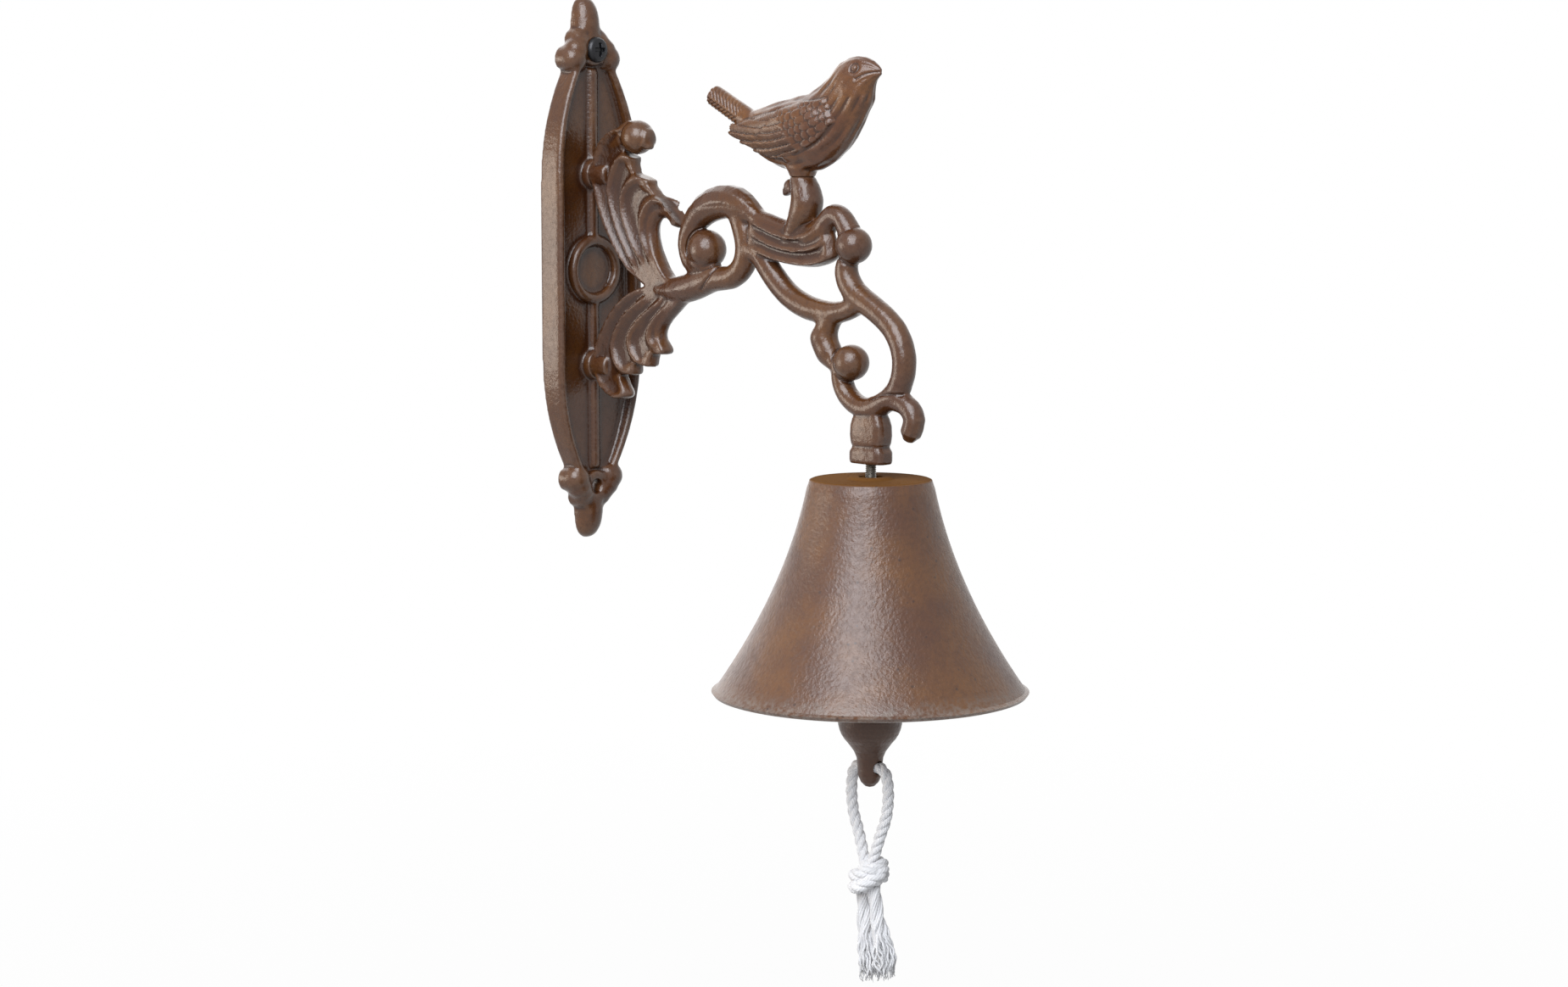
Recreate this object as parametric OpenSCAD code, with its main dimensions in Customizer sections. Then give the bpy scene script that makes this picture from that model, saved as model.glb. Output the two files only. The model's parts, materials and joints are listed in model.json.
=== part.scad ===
// Wall bell of cast iron: a slim ornate plate, a scrolled arm with a bird on a perch,
// and a flared bell with a clapper and a short pull rope.
// The wall is the plane y = 0, the arm reaches along -y and z points up.
// The origin is the middle of the plate's back.

/* [Wall plate] */
// Height over both tips
plate_h = 205; // [196:1:214]
// Width over the rims
plate_w = 43; // [39:1:48]
// Thickness of the floor between the rims
plate_floor = 5.5; // [4.5:0.5:6.5]
// Depth of the rim from the wall
rim_depth = 11; // [9.5:0.5:13]
// Width of the rim
rim_w = 3.4; // [3:0.2:4.4]
// Length of the plate's ends beyond the rims
end_l = 27.5; // [26:0.5:30]
// Width of the rims where they end
shoulder_w = 21; // [19:0.5:24]
// Outer diameter of the centre ring
ring_d = 26; // [22:1:28]
// Thickness of the centre ring
ring_t = 4; // [3:0.5:5]
// Width of the centre bead
bead_w = 4.8; // [4:0.4:6]
// Diameter of the volutes beside the wall screws
volute_d = 11; // [10:0.5:12]

/* [Seats and fixings] */
// Height between the two seats of the arm
seat_pitch = 72; // [68:1:78]
// Diameter of the seats
seat_d = 12; // [11:0.5:14]
// Depth of the seats from the wall
seat_depth = 9; // [8:0.5:10]
// Distance of the wall screw holes from the tips
hole_inset = 20; // [18.5:0.5:21.5]
// Diameter of the wall screw holes
hole_d = 5.5; // [5.2:0.1:6]
// Depth of the pads under the wall screws
pad_depth = 8; // [7:0.5:9]
// Shank diameter of the wall screw
wall_screw_d = 4.8; // [4:0.1:5]
// Length of the wall screw
wall_screw_l = 16; // [14:1:40]
// Head diameter of the wall screw
wall_head_d = 9.6; // [8.6:0.2:11]
// Shank diameter of the screws that hold the arm
arm_screw_d = 5; // [4:0.5:5]
// Length of the screws that hold the arm
arm_screw_l = 16; // [14:1:17]
// Head diameter of the screws that hold the arm
arm_head_d = 9.4; // [8.6:0.2:10]

/* [Arm] */
// Distance from the wall to the axis of the bell
reach = 146.5; // [138:0.5:158]
// Height of the scrollwork
scroll_h = 87; // [82:1:92]
// Width of the scroll bars
bar_w = 8; // [7.4:0.2:8.8]
// Thickness of the scroll bars from side to side
bar_t = 8.4; // [7.8:0.2:9.6]
// Diameter of the balls in the scrolls
ball_d = 12.6; // [11:0.2:14]
// Width of the collar over the bell
collar_w = 16; // [14:0.5:18]
// Thickness of the collar
collar_t = 9; // [8.6:0.2:11]
// Height of the collar
collar_h = 17; // [15:0.5:21]
// Height of the perch over the scrolls
perch_h = 16.5; // [12:0.5:22]
// Diameter of the perch's top
perch_d = 9.2; // [8.4:0.2:11]

/* [Bird] */
// Length from beak to tail
bird_l = 85; // [76:1:95]
// Width over the wings
bird_w = 20; // [17:0.5:24]
// Diameter of the stud between bird and perch
stud_d = 4; // [3:0.5:4]
// Length of the stud
stud_l = 16; // [12:1:18]

/* [Bell] */
// Height of the bell
bell_h = 77; // [70:1:86]
// Diameter of the mouth
mouth_d = 113; // [104:1:124]
// Diameter of the crown
crown_d = 44; // [40:1:50]
// Share of the flare that grows towards the mouth
flare = 0.585; // [0.4:0.005:0.75]
// Thickness of the side wall
bell_wall = 4.6; // [4:0.2:6]
// Thickness of the crown
crown_wall = 5; // [4:0.5:6.5]
// Diameter of the raised seat on the crown
crown_seat_d = 17; // [14:0.5:20]
// Height of the raised seat on the crown
crown_seat_h = 0.8; // [0.4:0.2:1.4]
// Diameter of the hole in the crown
crown_hole_d = 8.6; // [6:0.2:9.4]
// Space between collar and crown
bell_drop = 5.4; // [4:0.2:7]

/* [Bolt and clapper] */
// Diameter of the bolt
bolt_d = 4; // [3.4:0.2:4.4]
// Depth of the bolt in the collar
bolt_grip = 12; // [9:1:14]
// Outer diameter of the washer under the crown
washer_d = 14; // [12:0.5:16]
// Thickness of the washer
washer_t = 1.2; // [0.8:0.2:1.6]
// Width of the nuts over their flats
nut_w = 7; // [6.6:0.2:8]
// Height of each nut
nut_h = 3.2; // [2.4:0.2:4]
// Inner diameter of the bolt's eye and of the clapper's eye
eye_d = 6.6; // [6.2:0.2:8]
// Wire diameter of the two eyes
eye_wire = 3.2; // [2.6:0.2:3.4]
// Inner diameter of the link between the eyes
link_d = 8.6; // [8:0.2:10.4]
// Wire diameter of the link
link_wire = 2.6; // [2:0.2:2.8]
// Diameter of the clapper's ball
clapper_d = 23; // [20:0.5:26]
// Distance of the ball's middle under the bell's rim
clapper_drop = 9; // [5:0.5:12]
// Diameter of the clapper's stem
stem_d = 7; // [6:0.5:8]
// Diameter of the clapper's tail
tail_d = 9; // [8:0.2:10.4]
// Length of the tail under the ball
tail_l = 13; // [12:0.5:16]
// Distance of the rope's hole under the ball
rope_drop = 5.5; // [5:0.5:7]
// Diameter of the hole for the rope
rope_hole_d = 5; // [4.8:0.1:5.6]

/* [Fits] */
// Radial clearance of a thread in its hole
thread_clear = 0.05; // [0.03:0.01:0.1]
// Radial clearance of a bolt in a plain hole
hole_clear = 0.2; // [0.1:0.05:0.4]
// Space between the links of the clapper's chain
link_clear = 0.3; // [0.2:0.05:0.5]

/* [Hidden] */

iron = [0.42, 0.29, 0.22];
dark_iron = [0.36, 0.24, 0.18];
zinc = [0.45, 0.45, 0.44];
black_steel = [0.15, 0.15, 0.16];
cotton = [0.93, 0.92, 0.9];

// The arm is drawn at a reach of 146.5 and a seat depth of 9, with bars 8 wide
out_k = (reach - seat_depth) / 137.5;
up_k = scroll_h / 87;
leaf_k = seat_pitch / 72;
bar_k = bar_w / 8;

// Stations along a bar: distance from the wall, height, half of the width; three bars end in a ball
ball_r = ball_d / 2 / bar_k;
s_scroll = [
    [92, 22.2, 2.8], [88, 24, 4.6], [82, 26.6, 5.9], [74, 26.9, 6.3], [65.4, 23.9, 5.8],
    [58.8, 17.6, 4.5], [56.2, 10.7, 3.2], [58, 4.8, 3.2], [61.4, 3.8, 0.74 * ball_r],
    [65.2, 7.4, 1.14 * ball_r], [69.2, 10.8, 0.88 * ball_r], [71, 12.4, 0.32 * ball_r]
];
s_stem = [
    [40, -6, 1.8], [46, -6.4, 4.2], [53, -5.8, 5.3], [61, -4, 5.3], [70, -1.2, 4.7],
    [79, -0.4, 4.4], [85.2, 4.6, 4.5], [86.4, 12, 4.4], [84, 19.5, 4.5], [80.6, 25, 3.4]
];
curl = [
    [115, 13.4, 2.6], [121, 15.4, 4], [125.6, 20.4, 4.2], [129.2, 23.6, 4], [133, 22.4, 3.5],
    [135.8, 18, 0.66 * ball_r], [138, 13.4, 1.02 * ball_r], [139, 9.2, 0.76 * ball_r],
    [139.2, 7.6, 0.3 * ball_r]
];
c_scroll = [
    [136.6, 9.6, 2.6], [134.4, 3.8, 4.2], [138.6, -3.6, 4.6], [148, -9, 4.4], [157.4, -15.8, 4.4],
    [162, -25.8, 4.3], [159.6, -36.2, 4.2], [151.6, -42.3, 4], [143, -44.2, 3.9], [136, -40.5, 3.7],
    [132.8, -35, 3.5], [133.8, -31, 0.78 * ball_r], [137, -28.4, ball_r],
    [140.2, -26.6, 0.74 * ball_r], [141.6, -25.8, 0.3 * ball_r]
];
brace = [
    [86.6, 11, 2.8], [93.4, 8, 4.2], [99.4, 1.2, 4.5], [107, -5.6, 4.5], [117, -10, 4.5],
    [128, -11.2, 4], [135.6, -10, 3.7], [141.6, -8.2, 2.6]
];
hook = [
    [130.4, -11, 2.6], [126.8, -14.8, 4], [124.2, -20.3, 4.6], [126, -25.8, 4.6], [131.6, -29, 3.4]
];
tail_curl = [
    [152, -40.6, 2.8], [160, -41.2, 3.5], [164.2, -42.6, 3.8], [166.6, -46.8, 4.1], [165, -51.6, 3.9]
];
// The bars from the thickest to the thinnest
bars = [c_scroll, curl, s_scroll, s_stem, brace, tail_curl, hook];
// Rolled end of the upper leaf
knob = [
    [16.6, 44.6, 1.8], [21.4, 48.8, 4.2], [27, 50.8, 5.8], [32, 49.8, 6.2], [35, 47.8, 4.8],
    [36.4, 46.8, 2]
];
// A leaf and the sash are fans of ridges, listed from side to side
leaves = [
    [
        [31, 48.6, 1.8], [27, 49.8, 3.4], [21.4, 49.2, 4.6], [15.5, 44.6, 4.5], [13.2, 36, 4.2],
        [15.6, 25.6, 4], [21.4, 13.4, 3.6], [29.6, 2.6, 2.9], [35.8, -2.8, 2.1], [39.8, -5.6, 1.8],
        [33.2, -8.2, 2.7], [24.6, -14, 3.6], [18, -22, 4], [13.6, -32, 4.3], [15, -40.5, 4.2],
        [21, -45.4, 3.2], [27, -46, 1.2]
    ],
    [
        [29.8, 41, 1.8], [27.6, 41, 2.8], [24.2, 39.2, 3.6], [21, 33, 3.8], [20.8, 27, 3.7],
        [22.6, 20.6, 3.5], [26.6, 12.6, 3.3], [32.8, 3, 2.6], [38.6, -2.8, 1.9], [44, -6.4, 1.9],
        [37.6, -10.8, 2.6], [29.4, -16.4, 3.3], [23.8, -22.6, 3.6], [22.2, -27.6, 3.6],
        [24, -33.4, 3.3], [27.4, -36.6, 2.4], [31, -38, 1.2]
    ],
    [
        [39, 33, 1.2], [36, 33.4, 2.2], [32.4, 32.6, 3], [28.6, 29.4, 3.5], [27.4, 25, 3.6],
        [28.2, 20, 3.5], [31.4, 12.8, 3.2], [36.6, 4, 2.5], [42.8, -2.8, 1.9], [50.4, -7, 2.1],
        [44.4, -12.8, 2.8], [36.6, -18.4, 3.3], [32, -22.6, 3.5], [31, -27, 3.4], [33.6, -31.4, 3],
        [36.2, -33.6, 2.2], [39.4, -34.8, 1.2]
    ],
    [
        [52.6, 16.8, 1.6], [50.6, 20.6, 3.2], [47, 23.8, 4.2], [42.4, 24, 4.3], [39.2, 21, 3.9],
        [37.8, 17.4, 3.5], [38, 12.6, 3.2], [41, 5, 2.5], [47, -2.4, 1.9], [56, -6.4, 2.2],
        [51, -11.4, 2.5], [44.8, -16.6, 2.9], [41.8, -21, 3.2], [41.6, -24.6, 3], [43.4, -27.2, 2.5],
        [44.8, -28.6, 2], [46.8, -29.6, 1.2]
    ]
];
sash = [
    [
        [88.6, 22.8, 1.6], [96, 20.6, 3.2], [104, 18, 3.6], [112, 16.8, 3.6], [119.6, 18, 3.2],
        [125.4, 22, 2]
    ],
    [
        [88, 18.4, 1.6], [95, 16, 2.8], [103.6, 13.4, 3.2], [113, 12.2, 3.3], [122, 13.2, 3],
        [129, 17, 2]
    ],
    [
        [88, 13.8, 1.6], [95, 11.4, 2.8], [104, 9, 3.1], [114, 7.8, 3.2], [123, 8, 3],
        [131, 10.6, 2]
    ]
];

// Height of the perch's top, and of the collar's two ends
perch_base = 20 * up_k;
perch_z = perch_base + perch_h;
perch_y = -out(113.7);
collar_top = -46.5 * up_k;
collar_z = collar_top - collar_h;

// The bird is drawn 85 long, in places ahead of and above the middle of the perch
bird_k = bird_l / 85;
bird_body = [
    [-31.4, 18, 2.2], [-25, 17.5, 6], [-17, 16, 9.5], [-8, 15.1, 12.3], [1.3, 15, 13.7],
    [9.2, 17.2, 13.5], [16.2, 22.4, 12], [21.6, 28.2, 10.5], [25.6, 33, 9.6], [29.8, 35.8, 7.3],
    [33.8, 36.8, 3.9], [37.2, 36.6, 1]
];
bird_neck = [[0, 0, 4.6], [0, 3, 6], [0, 8, 8.6]];
bird_tail = [[-20, 16.7, 4.4], [-33.4, 23.6, 4.2], [-44.2, 29.2, 4]];
bird_wing = [[16.4, 22.2, 3], [7.8, 18.6, 7], [-5.6, 15.2, 7.4], [-18, 15.2, 5.2], [-29.4, 16.6, 1.7]];

// Heights of the hanging pieces
crown_z = collar_z - bell_drop;
under_crown = crown_z - crown_wall;
nut_z = under_crown - washer_t;
chain_z = nut_z - 2 * nut_h;
eye_r = (eye_d + eye_wire) / 2;
link_r = (link_d + link_wire) / 2;
eye_z = chain_z - eye_d / 2 - eye_wire;
link_top = eye_z - eye_r + (eye_wire + link_wire) / 2 + link_clear;
link_z = link_top - link_r;
clapper_eye_top = link_z - link_r + (eye_wire + link_wire) / 2 + link_clear;
clapper_eye_z = clapper_eye_top - eye_r;
rim_z = crown_z - bell_h;
ball_z = rim_z - clapper_drop;
rope_hole_z = ball_z - clapper_d / 2 - rope_drop;

// Rope route through the clapper's tail: distance along the arm from the hole, height over the hole
rope_r = 2;
rope_route = [
    [-2.6, -34], [-3.6, -30], [-5.4, -24], [-7.6, -18], [-8.6, -12], [-8.6, -7], [-7.8, -2.6], [-5.6, -0.2],
    [-3, 0], [0, 0], [3, 0], [5.6, -0.2], [7.8, -2.6], [8.6, -7], [8.6, -12], [7.6, -18], [5.2, -24],
    [3, -30], [1.4, -34]
];
left_tail_route = [
    [-3, -46.4, 2.8], [-2.6, -54, 2.8], [-1.4, -64, 2.5], [-0.2, -72, 2.1], [0.4, -79, 1.2]
];
right_tail_route = [
    [2.8, -46.4, 2.4], [4, -54, 2.5], [6.2, -62, 2.5], [7.6, -70, 2.1], [8.2, -77, 1.2]
];

// Distance from the wall of a place that is drawn d from it
function out(d) = seat_depth + (d - 9) * out_k;
// Stations of a bar and of a leaf's ridge at the arm's real size
function placed(s) = [for (p = s) [out(p[0]), p[1] * up_k, p[2] * bar_k]];
function leafed(s) = [for (p = s) [out(p[0]), p[1] * leaf_k, p[2] * bar_k]];
function perched(s) = [for (p = s) [p[0] * bird_k - perch_y, p[1] * bird_k + perch_z, p[2] * bird_k]];

// Point at share t of span i on a smooth curve through the points p
function bend(p, i, t) =
    let (a = p[max(i - 1, 0)], b = p[i], c = p[i + 1], d = p[min(i + 2, len(p) - 1)])
    b + 0.5 * t * (c - a + t * (2 * a - 5 * b + 4 * c - d + t * (3 * b - 3 * c + d - a)));
function curve(p, n) = [for (i = [0 : len(p) - 2], k = [0 : n - 1]) bend(p, i, k / n), p[len(p) - 1]];
function unit(v) = v / norm(v);
// Direction of a line of points at its point i
function way(p, i) = unit(p[min(i + 1, len(p) - 1)] - p[max(i - 1, 0)]);
function middle(r) = [for (k = [0 : 2]) sum(r, k) / len(r)];
function sum(r, k, i = 0) = i < len(r) ? r[i][k] + sum(r, k, i + 1) : 0;

// Oval ring of points in the arm's plane, at c = [out, up], square to the direction w
function oval(c, w, half, across, sides, start = 0.5) = [
    for (k = [0 : sides - 1])
        let (a = 360 * (k + start) / sides, h = half * cos(a))
        [across * sin(a), -c[0] + w[1] * h, c[1] + w[0] * h]
];
// Round ring of points at p, square to the direction w
function hoop(p, w, r, sides) =
    let (u = unit(cross(w, abs(w[0]) < 0.8 ? [1, 0, 0] : [0, 1, 0])), v = cross(w, u))
    [for (k = [0 : sides - 1]) p + r * (cos(360 * k / sides) * u - sin(360 * k / sides) * v)];

// Closed skin over rings of points; its two ends are flat, or domed by a share of the last step
module skin(rings, dome = 0) {
    n = len(rings[0]);
    m = len(rings);
    a = middle(rings[0]);
    b = middle(rings[m - 1]);
    tips = [a + dome * (a - middle(rings[1])), b + dome * (b - middle(rings[m - 2]))];
    points = concat([for (r = rings) each r], tips);
    sides = [
        for (i = [0 : m - 2], k = [0 : n - 1])
            let (a = i * n + k, b = i * n + (k + 1) % n)
            each [[a, b, b + n], [a, b + n, a + n]]
    ];
    ends = [
        for (k = [0 : n - 1])
            let (l = (k + 1) % n, e = (m - 1) * n)
            each [[m * n, l, k], [m * n + 1, e + k, e + l]]
    ];
    polyhedron(points, concat(sides, ends));
}

// Closed skin between two sheets of points with the same layout and the same border
module pillow(front, back) {
    m = len(front);
    n = len(front[0]);
    all = m * n;
    faces = [
        for (i = [0 : m - 2], k = [0 : n - 2])
            let (a = i * n + k, b = a + 1, c = a + n, d = c + 1)
            each [[a, b, d], [a, d, c], [all + a, all + d, all + b], [all + a, all + c, all + d]]
    ];
    polyhedron(concat([for (r = front) each r], [for (r = back) each r]), faces);
}

// Station of a ridge at the share t of its length, and the direction to its side
function ridge_at(s, t) = let (n = len(s) - 1, i = min(n - 1, floor(t * n))) bend(s, i, t * n - i);
function ridge_side(s, t) =
    let (
        a = ridge_at(s, max(0, t - 0.02)),
        b = ridge_at(s, min(1, t + 0.02)),
        w = unit([b[0] - a[0], b[1] - a[1]])
    )
    [-w[1], w[0]];
// Half of a leaf's thickness where a ridge's half width is w; the flutes run out where a ridge is narrow
function calm(w) = min(1, max(0, 5 - w / 0.6 / bar_k));
function back(w, share) = bar_t / 2 * min(1, w / 1.8 / bar_k) * (share + (0.78 - share) * calm(w));
// Place beside the crest of a ridge, off half widths away, with its share of the thickness
function beside(s, t, off, share) =
    let (p = ridge_at(s, t), n = ridge_side(s, t))
    [p[0] + off * p[2] * n[0], p[1] + off * p[2] * n[1], share > 0 ? back(p[2], share) : 0];
// Groove between two ridges; it stays behind where the ridges part towards their ends
function between(a, b, t) = (beside(a, t, 1, 0.56) + beside(b, t, -1, 0.56)) / 2;
function groove(a, b, t, part) =
    let (u = min(max(t, part), 1 - part))
    0.8 * between(a, b, u) + 0.2 * between(a, b, t);
function leaf_row(ridges, t, part) =
    let (last = len(ridges) - 1)
    [
        beside(ridges[0], t, -1, 0),
        for (k = [0 : last]) each concat(
            [for (q = [[-0.72, 1.2], [-0.1, 0.86], [0.5, 0.66]]) beside(ridges[k], t, q[0], q[1])],
            k < last ? [groove(ridges[k], ridges[k + 1], t, part)] : []
        ),
        beside(ridges[last], t, 1, 0)
    ];
// Fluted leaf over ridges that are listed from the right of their direction to the left
module leaf(ridges, part, rows) {
    plan = [for (j = [0 : rows]) leaf_row(ridges, j / rows, part)];
    side = [for (j = [0 : rows]) j > 0 && j < rows ? 1 : 0];
    pillow(
        [for (j = [0 : rows]) [for (p = plan[j]) [-side[j] * p[2], -p[0], p[1]]]],
        [for (j = [0 : rows]) [for (p = plan[j]) [side[j] * p[2], -p[0], p[1]]]]
    );
}

// Half of a bar's thickness where its half width is h; a ball is as thick as it is wide
function thick(h) = bar_t / 2 * (h < 3.2 * bar_k ? h / 3.2 / bar_k : max(1, h / 4.4 / bar_k));

// Bar with rounded ends along stations of [out, up, half width]
module bar(stations, across = 1, steps = 2, sides = 10) {
    s = curve(stations, steps);
    last = len(s) - 1;
    flat = [for (p = s) [p[0], p[1]]];
    rings = [
        for (i = [0 : last])
            oval(flat[i], way(flat, i), s[i][2], across * thick(s[i][2]), sides)
    ];
    start = cap(s[0], -way(flat, 0), across, sides, -1);
    end = cap(s[last], way(flat, last), across, sides, 1);
    skin(concat([start], rings, [end]), 0.35);
}
// Small ring that rounds off the end of a bar
function cap(p, w, across, sides, sign) = oval(
    [p[0] + 0.7 * p[2] * w[0], p[1] + 0.7 * p[2] * w[1]],
    sign * w, 0.55 * p[2], 0.55 * across * thick(p[2]), sides, 1
);

// Block with soft corners that follows stations of [height, half along the arm, half across]
module soft_block(stations, sides = 14) {
    skin([
        for (s = stations) [
            for (k = [0 : sides - 1])
                let (a = 360 * (k + 0.5) / sides, c = cos(a), e = sin(a))
                [-s[2] * sign(e) * sqrt(abs(e)), s[1] * sign(c) * sqrt(abs(c)), s[0]]
        ]
    ]);
}

// Joins the children into one casting
module cast() resize([0, 0, 0]) children();

// Rod along -y from the depth a to the depth b
module rod(a, b, d, h) translate([0, -a, h]) rotate([90, 0, 0]) cylinder(d = d, h = b - a, $fn = 48);

// Half of the plate's width at the height z
hole_pitch = plate_h - 2 * hole_inset;
shoulder_z = plate_h / 2 - end_l;
side_z = 0.4 * shoulder_z;
function taper(z) = max(0, (abs(z) - side_z) / (shoulder_z - side_z));
function half_w(z) = plate_w / 2 - (plate_w - shoulder_w) / 2 * pow(taper(z), 2.3);
// Front of the plate at the height z, from one side to the other: rim, floor, bead, floor, rim
function both(half, z) =
    let (edge = half[0][0] + 0.2)
    [
        [-edge, 1, z],
        for (p = half) [-p[0], -p[1], z],
        for (k = [len(half) - 1 : -1 : 0]) [half[k][0], -half[k][1], z],
        [edge, 1, z]
    ];
function plate_row(z) =
    let (
        w = half_w(z),
        r = rim_w,
        d = rim_depth * (1 - 0.2 * taper(z)),
        b = bead_w / 2,
        rise = abs(z) < ring_d / 2 - 0.8 * ring_t ? 0.1 : b
    )
    both([
        [w, d - 0.5 * r], [w - 0.14 * r, d - 0.14 * r], [w - 0.5 * r, d], [w - 0.86 * r, d - 0.14 * r],
        [w - r, d - 0.5 * r], [w - r - 0.5, plate_floor], [b, plate_floor - 0.1],
        [0.8 * b, plate_floor + 0.6 * rise], [0.3 * b, plate_floor + 0.95 * rise]
    ], z);
// Beyond the shoulder the front is two pairs of volutes and a tongue: [from the middle, height, radius]
volutes = [
    [0.78 * volute_d, shoulder_z + 0.38 * volute_d, volute_d / 2],
    [0.44 * volute_d, hole_pitch / 2 + 0.36 * volute_d, 0.38 * volute_d]
];
function tongue_w(z) =
    lookup(plate_h / 2 - z, [[0, 1.6], [1.6, 3.8], [5, 5.3], [10, 5.9], [15, 5.8], [30, 6.6]]);
function tongue_t(z) =
    lookup(plate_h / 2 - z, [[0, 2.6], [1.6, 5], [5, 7], [10, 8], [15, 8], [21, 6.4], [30, 5]]);
function end_w(z) = max(concat([tongue_w(z)], [
    for (v = volutes) let (q = pow(v[2], 2) - pow(z - v[1], 2)) q > 0 ? v[0] + sqrt(q) : 0
]));
function end_depth(x, z) = max(concat(
    [1.4 + (tongue_t(z) - 1.4) * sqrt(max(0, 1 - pow(x / tongue_w(z), 2)))],
    [
        for (v = volutes)
            let (q = pow(v[2], 2) - pow(x - v[0], 2) - pow(z - v[1], 2))
            q > 0 ? 0.84 * v[2] + sqrt(q) : 1.4
    ]
));
function end_row(z) =
    let (w = end_w(z))
    both([for (u = [1, 0.95, 0.86, 0.74, 0.62, 0.5, 0.36, 0.22, 0.08]) [u * w, end_depth(u * w, z)]], z);
module plate_body() {
    tip_z = plate_h / 2;
    end_z = shoulder_z + 0.8;
    tips = [for (k = [0 : 18]) end_row(tip_z + (end_z - tip_z) * k / 18)];
    ends = [for (k = [0 : 8]) plate_row(shoulder_z + (side_z - shoulder_z) * pow(k / 8, 1.3))];
    round_ring = [for (k = [0.2, 0.9]) plate_row(ring_d / 2 - k * ring_t)];
    upper = concat(tips, ends, round_ring);
    lower = [for (k = [len(upper) - 1 : -1 : 0]) [for (p = upper[k]) [p[0], p[1], -p[2]]]];
    rows = concat(upper, lower);
    last = len(rows) - 1;
    top = [for (p = rows[0]) [p[0], 1, p[2] + 0.2]];
    foot = [for (p = rows[last]) [p[0], 1, p[2] - 0.2]];
    back = [for (r = rows) [for (p = r) [p[0], 1, p[2]]]];
    pillow(concat([top], rows, [foot]), concat([top], back, [foot]));
}

// Seat that carries a foot of the arm
module seat(z) {
    translate([0, 0.6, z]) rotate([90, 0, 0])
        cylinder(d1 = seat_d + 3, d2 = seat_d - 1, h = seat_depth + 0.6, $fn = 48);
}

module wall_plate() {
    head_cone = (arm_head_d - arm_screw_d) / 2;
    color(iron) difference() {
        union() {
            plate_body();
            translate([0, -plate_floor, 0]) rotate([90, 0, 0]) rotate_extrude($fn = 48)
                translate([(ring_d - ring_t) / 2, 0.3 * ring_t]) circle(d = ring_t, $fn = 16);
            for (end = [-1, 1]) {
                seat(end * seat_pitch / 2);
                rod(-0.6, pad_depth, wall_head_d + 2.4, end * hole_pitch / 2);
            }
        }
        translate([-plate_w, 0, -plate_h]) cube([2 * plate_w, plate_w, 2 * plate_h]);
        for (end = [-1, 1]) {
            rod(-1, pad_depth + 6, hole_d, end * hole_pitch / 2);
            rod(pad_depth, pad_depth + plate_w, wall_head_d + 1, end * hole_pitch / 2);
            rod(-1, seat_depth + 1, arm_screw_d + 2 * hole_clear, end * seat_pitch / 2);
            rod(-1, 0.4, arm_head_d + 2 * hole_clear, end * seat_pitch / 2);
            translate([0, -0.4, end * seat_pitch / 2]) rotate([90, 0, 0]) cylinder(
                d1 = arm_head_d + 2 * hole_clear, d2 = arm_screw_d + 2 * hole_clear, h = head_cone, $fn = 48
            );
        }
    }
}

module wall_screw() {
    color(black_steel) translate([0, 0, hole_pitch / 2]) rotate([90, 0, 0]) {
        rotate_extrude($fn = 48) polygon([
            [0, pad_depth], [wall_head_d / 2, pad_depth], [wall_head_d / 2, pad_depth + 1],
            [0.43 * wall_head_d, pad_depth + 2], [0.3 * wall_head_d, pad_depth + 2.6], [0, pad_depth + 2.9]
        ]);
        rotate_extrude($fn = 48) polygon([
            [0, pad_depth + 1], [wall_screw_d / 2, pad_depth + 1],
            [wall_screw_d / 2, pad_depth - wall_screw_l + 6], [0, pad_depth - wall_screw_l]
        ]);
    }
}

// Countersunk screw from behind the plate into a foot of the arm
module arm_screw(z) {
    head = (arm_head_d - arm_screw_d) / 2;
    color(zinc) translate([0, -0.4, z]) rotate([90, 0, 0]) rotate_extrude($fn = 48) polygon([
        [0, 0], [arm_head_d / 2, 0], [arm_screw_d / 2, head], [arm_screw_d / 2, arm_screw_l],
        [0, arm_screw_l]
    ]);
}
module upper_arm_screw() arm_screw(seat_pitch / 2);
module lower_arm_screw() arm_screw(-seat_pitch / 2);

// Stalk of the perch with a small spur towards the wall
module perch() {
    k = perch_h / 16.5;
    n = 14;
    skin([
        for (s = [[-7, 108, 3.6, 5], [-2, 111.2, 4.8, -4], [3, 114.8, 5.9, 6], [8.4, 116, 6, -5],
                  [13, 115, 5.4, 5], [16.5, 113.7, 4.6, -3]])
            [
                for (i = [0 : n - 1])
                    let (a = 90 + 360 * i / n + s[3], r = s[2] * perch_d / 9.2)
                    [-r * cos(a), -out(s[1]) + r * sin(a), perch_base + s[0] * k]
            ]
    ]);
    bar([for (q = [[112, 4, 2.4], [108, 4.4, 2.1], [105.6, 6, 1.3]]) [out(q[0]), perch_z - q[1], q[2]]]);
}

// Cast collar that takes the bolt
module collar() {
    w = collar_w / 2;
    t = collar_t / 2;
    translate([0, -reach, 0]) soft_block([
        for (s = [[-0.12, 0.62, 0.8], [0.06, 0.86, 0.9], [0.2, 0.96, 0.98], [0.42, 0.98, 1],
                  [0.58, 0.93, 0.96], [0.64, 0.84, 0.88], [0.7, 0.93, 0.95], [0.75, 1, 1],
                  [0.95, 1, 1], [1, 0.95, 0.92]])
            [collar_top - s[0] * collar_h, s[1] * w, s[2] * t]
    ]);
}

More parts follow.
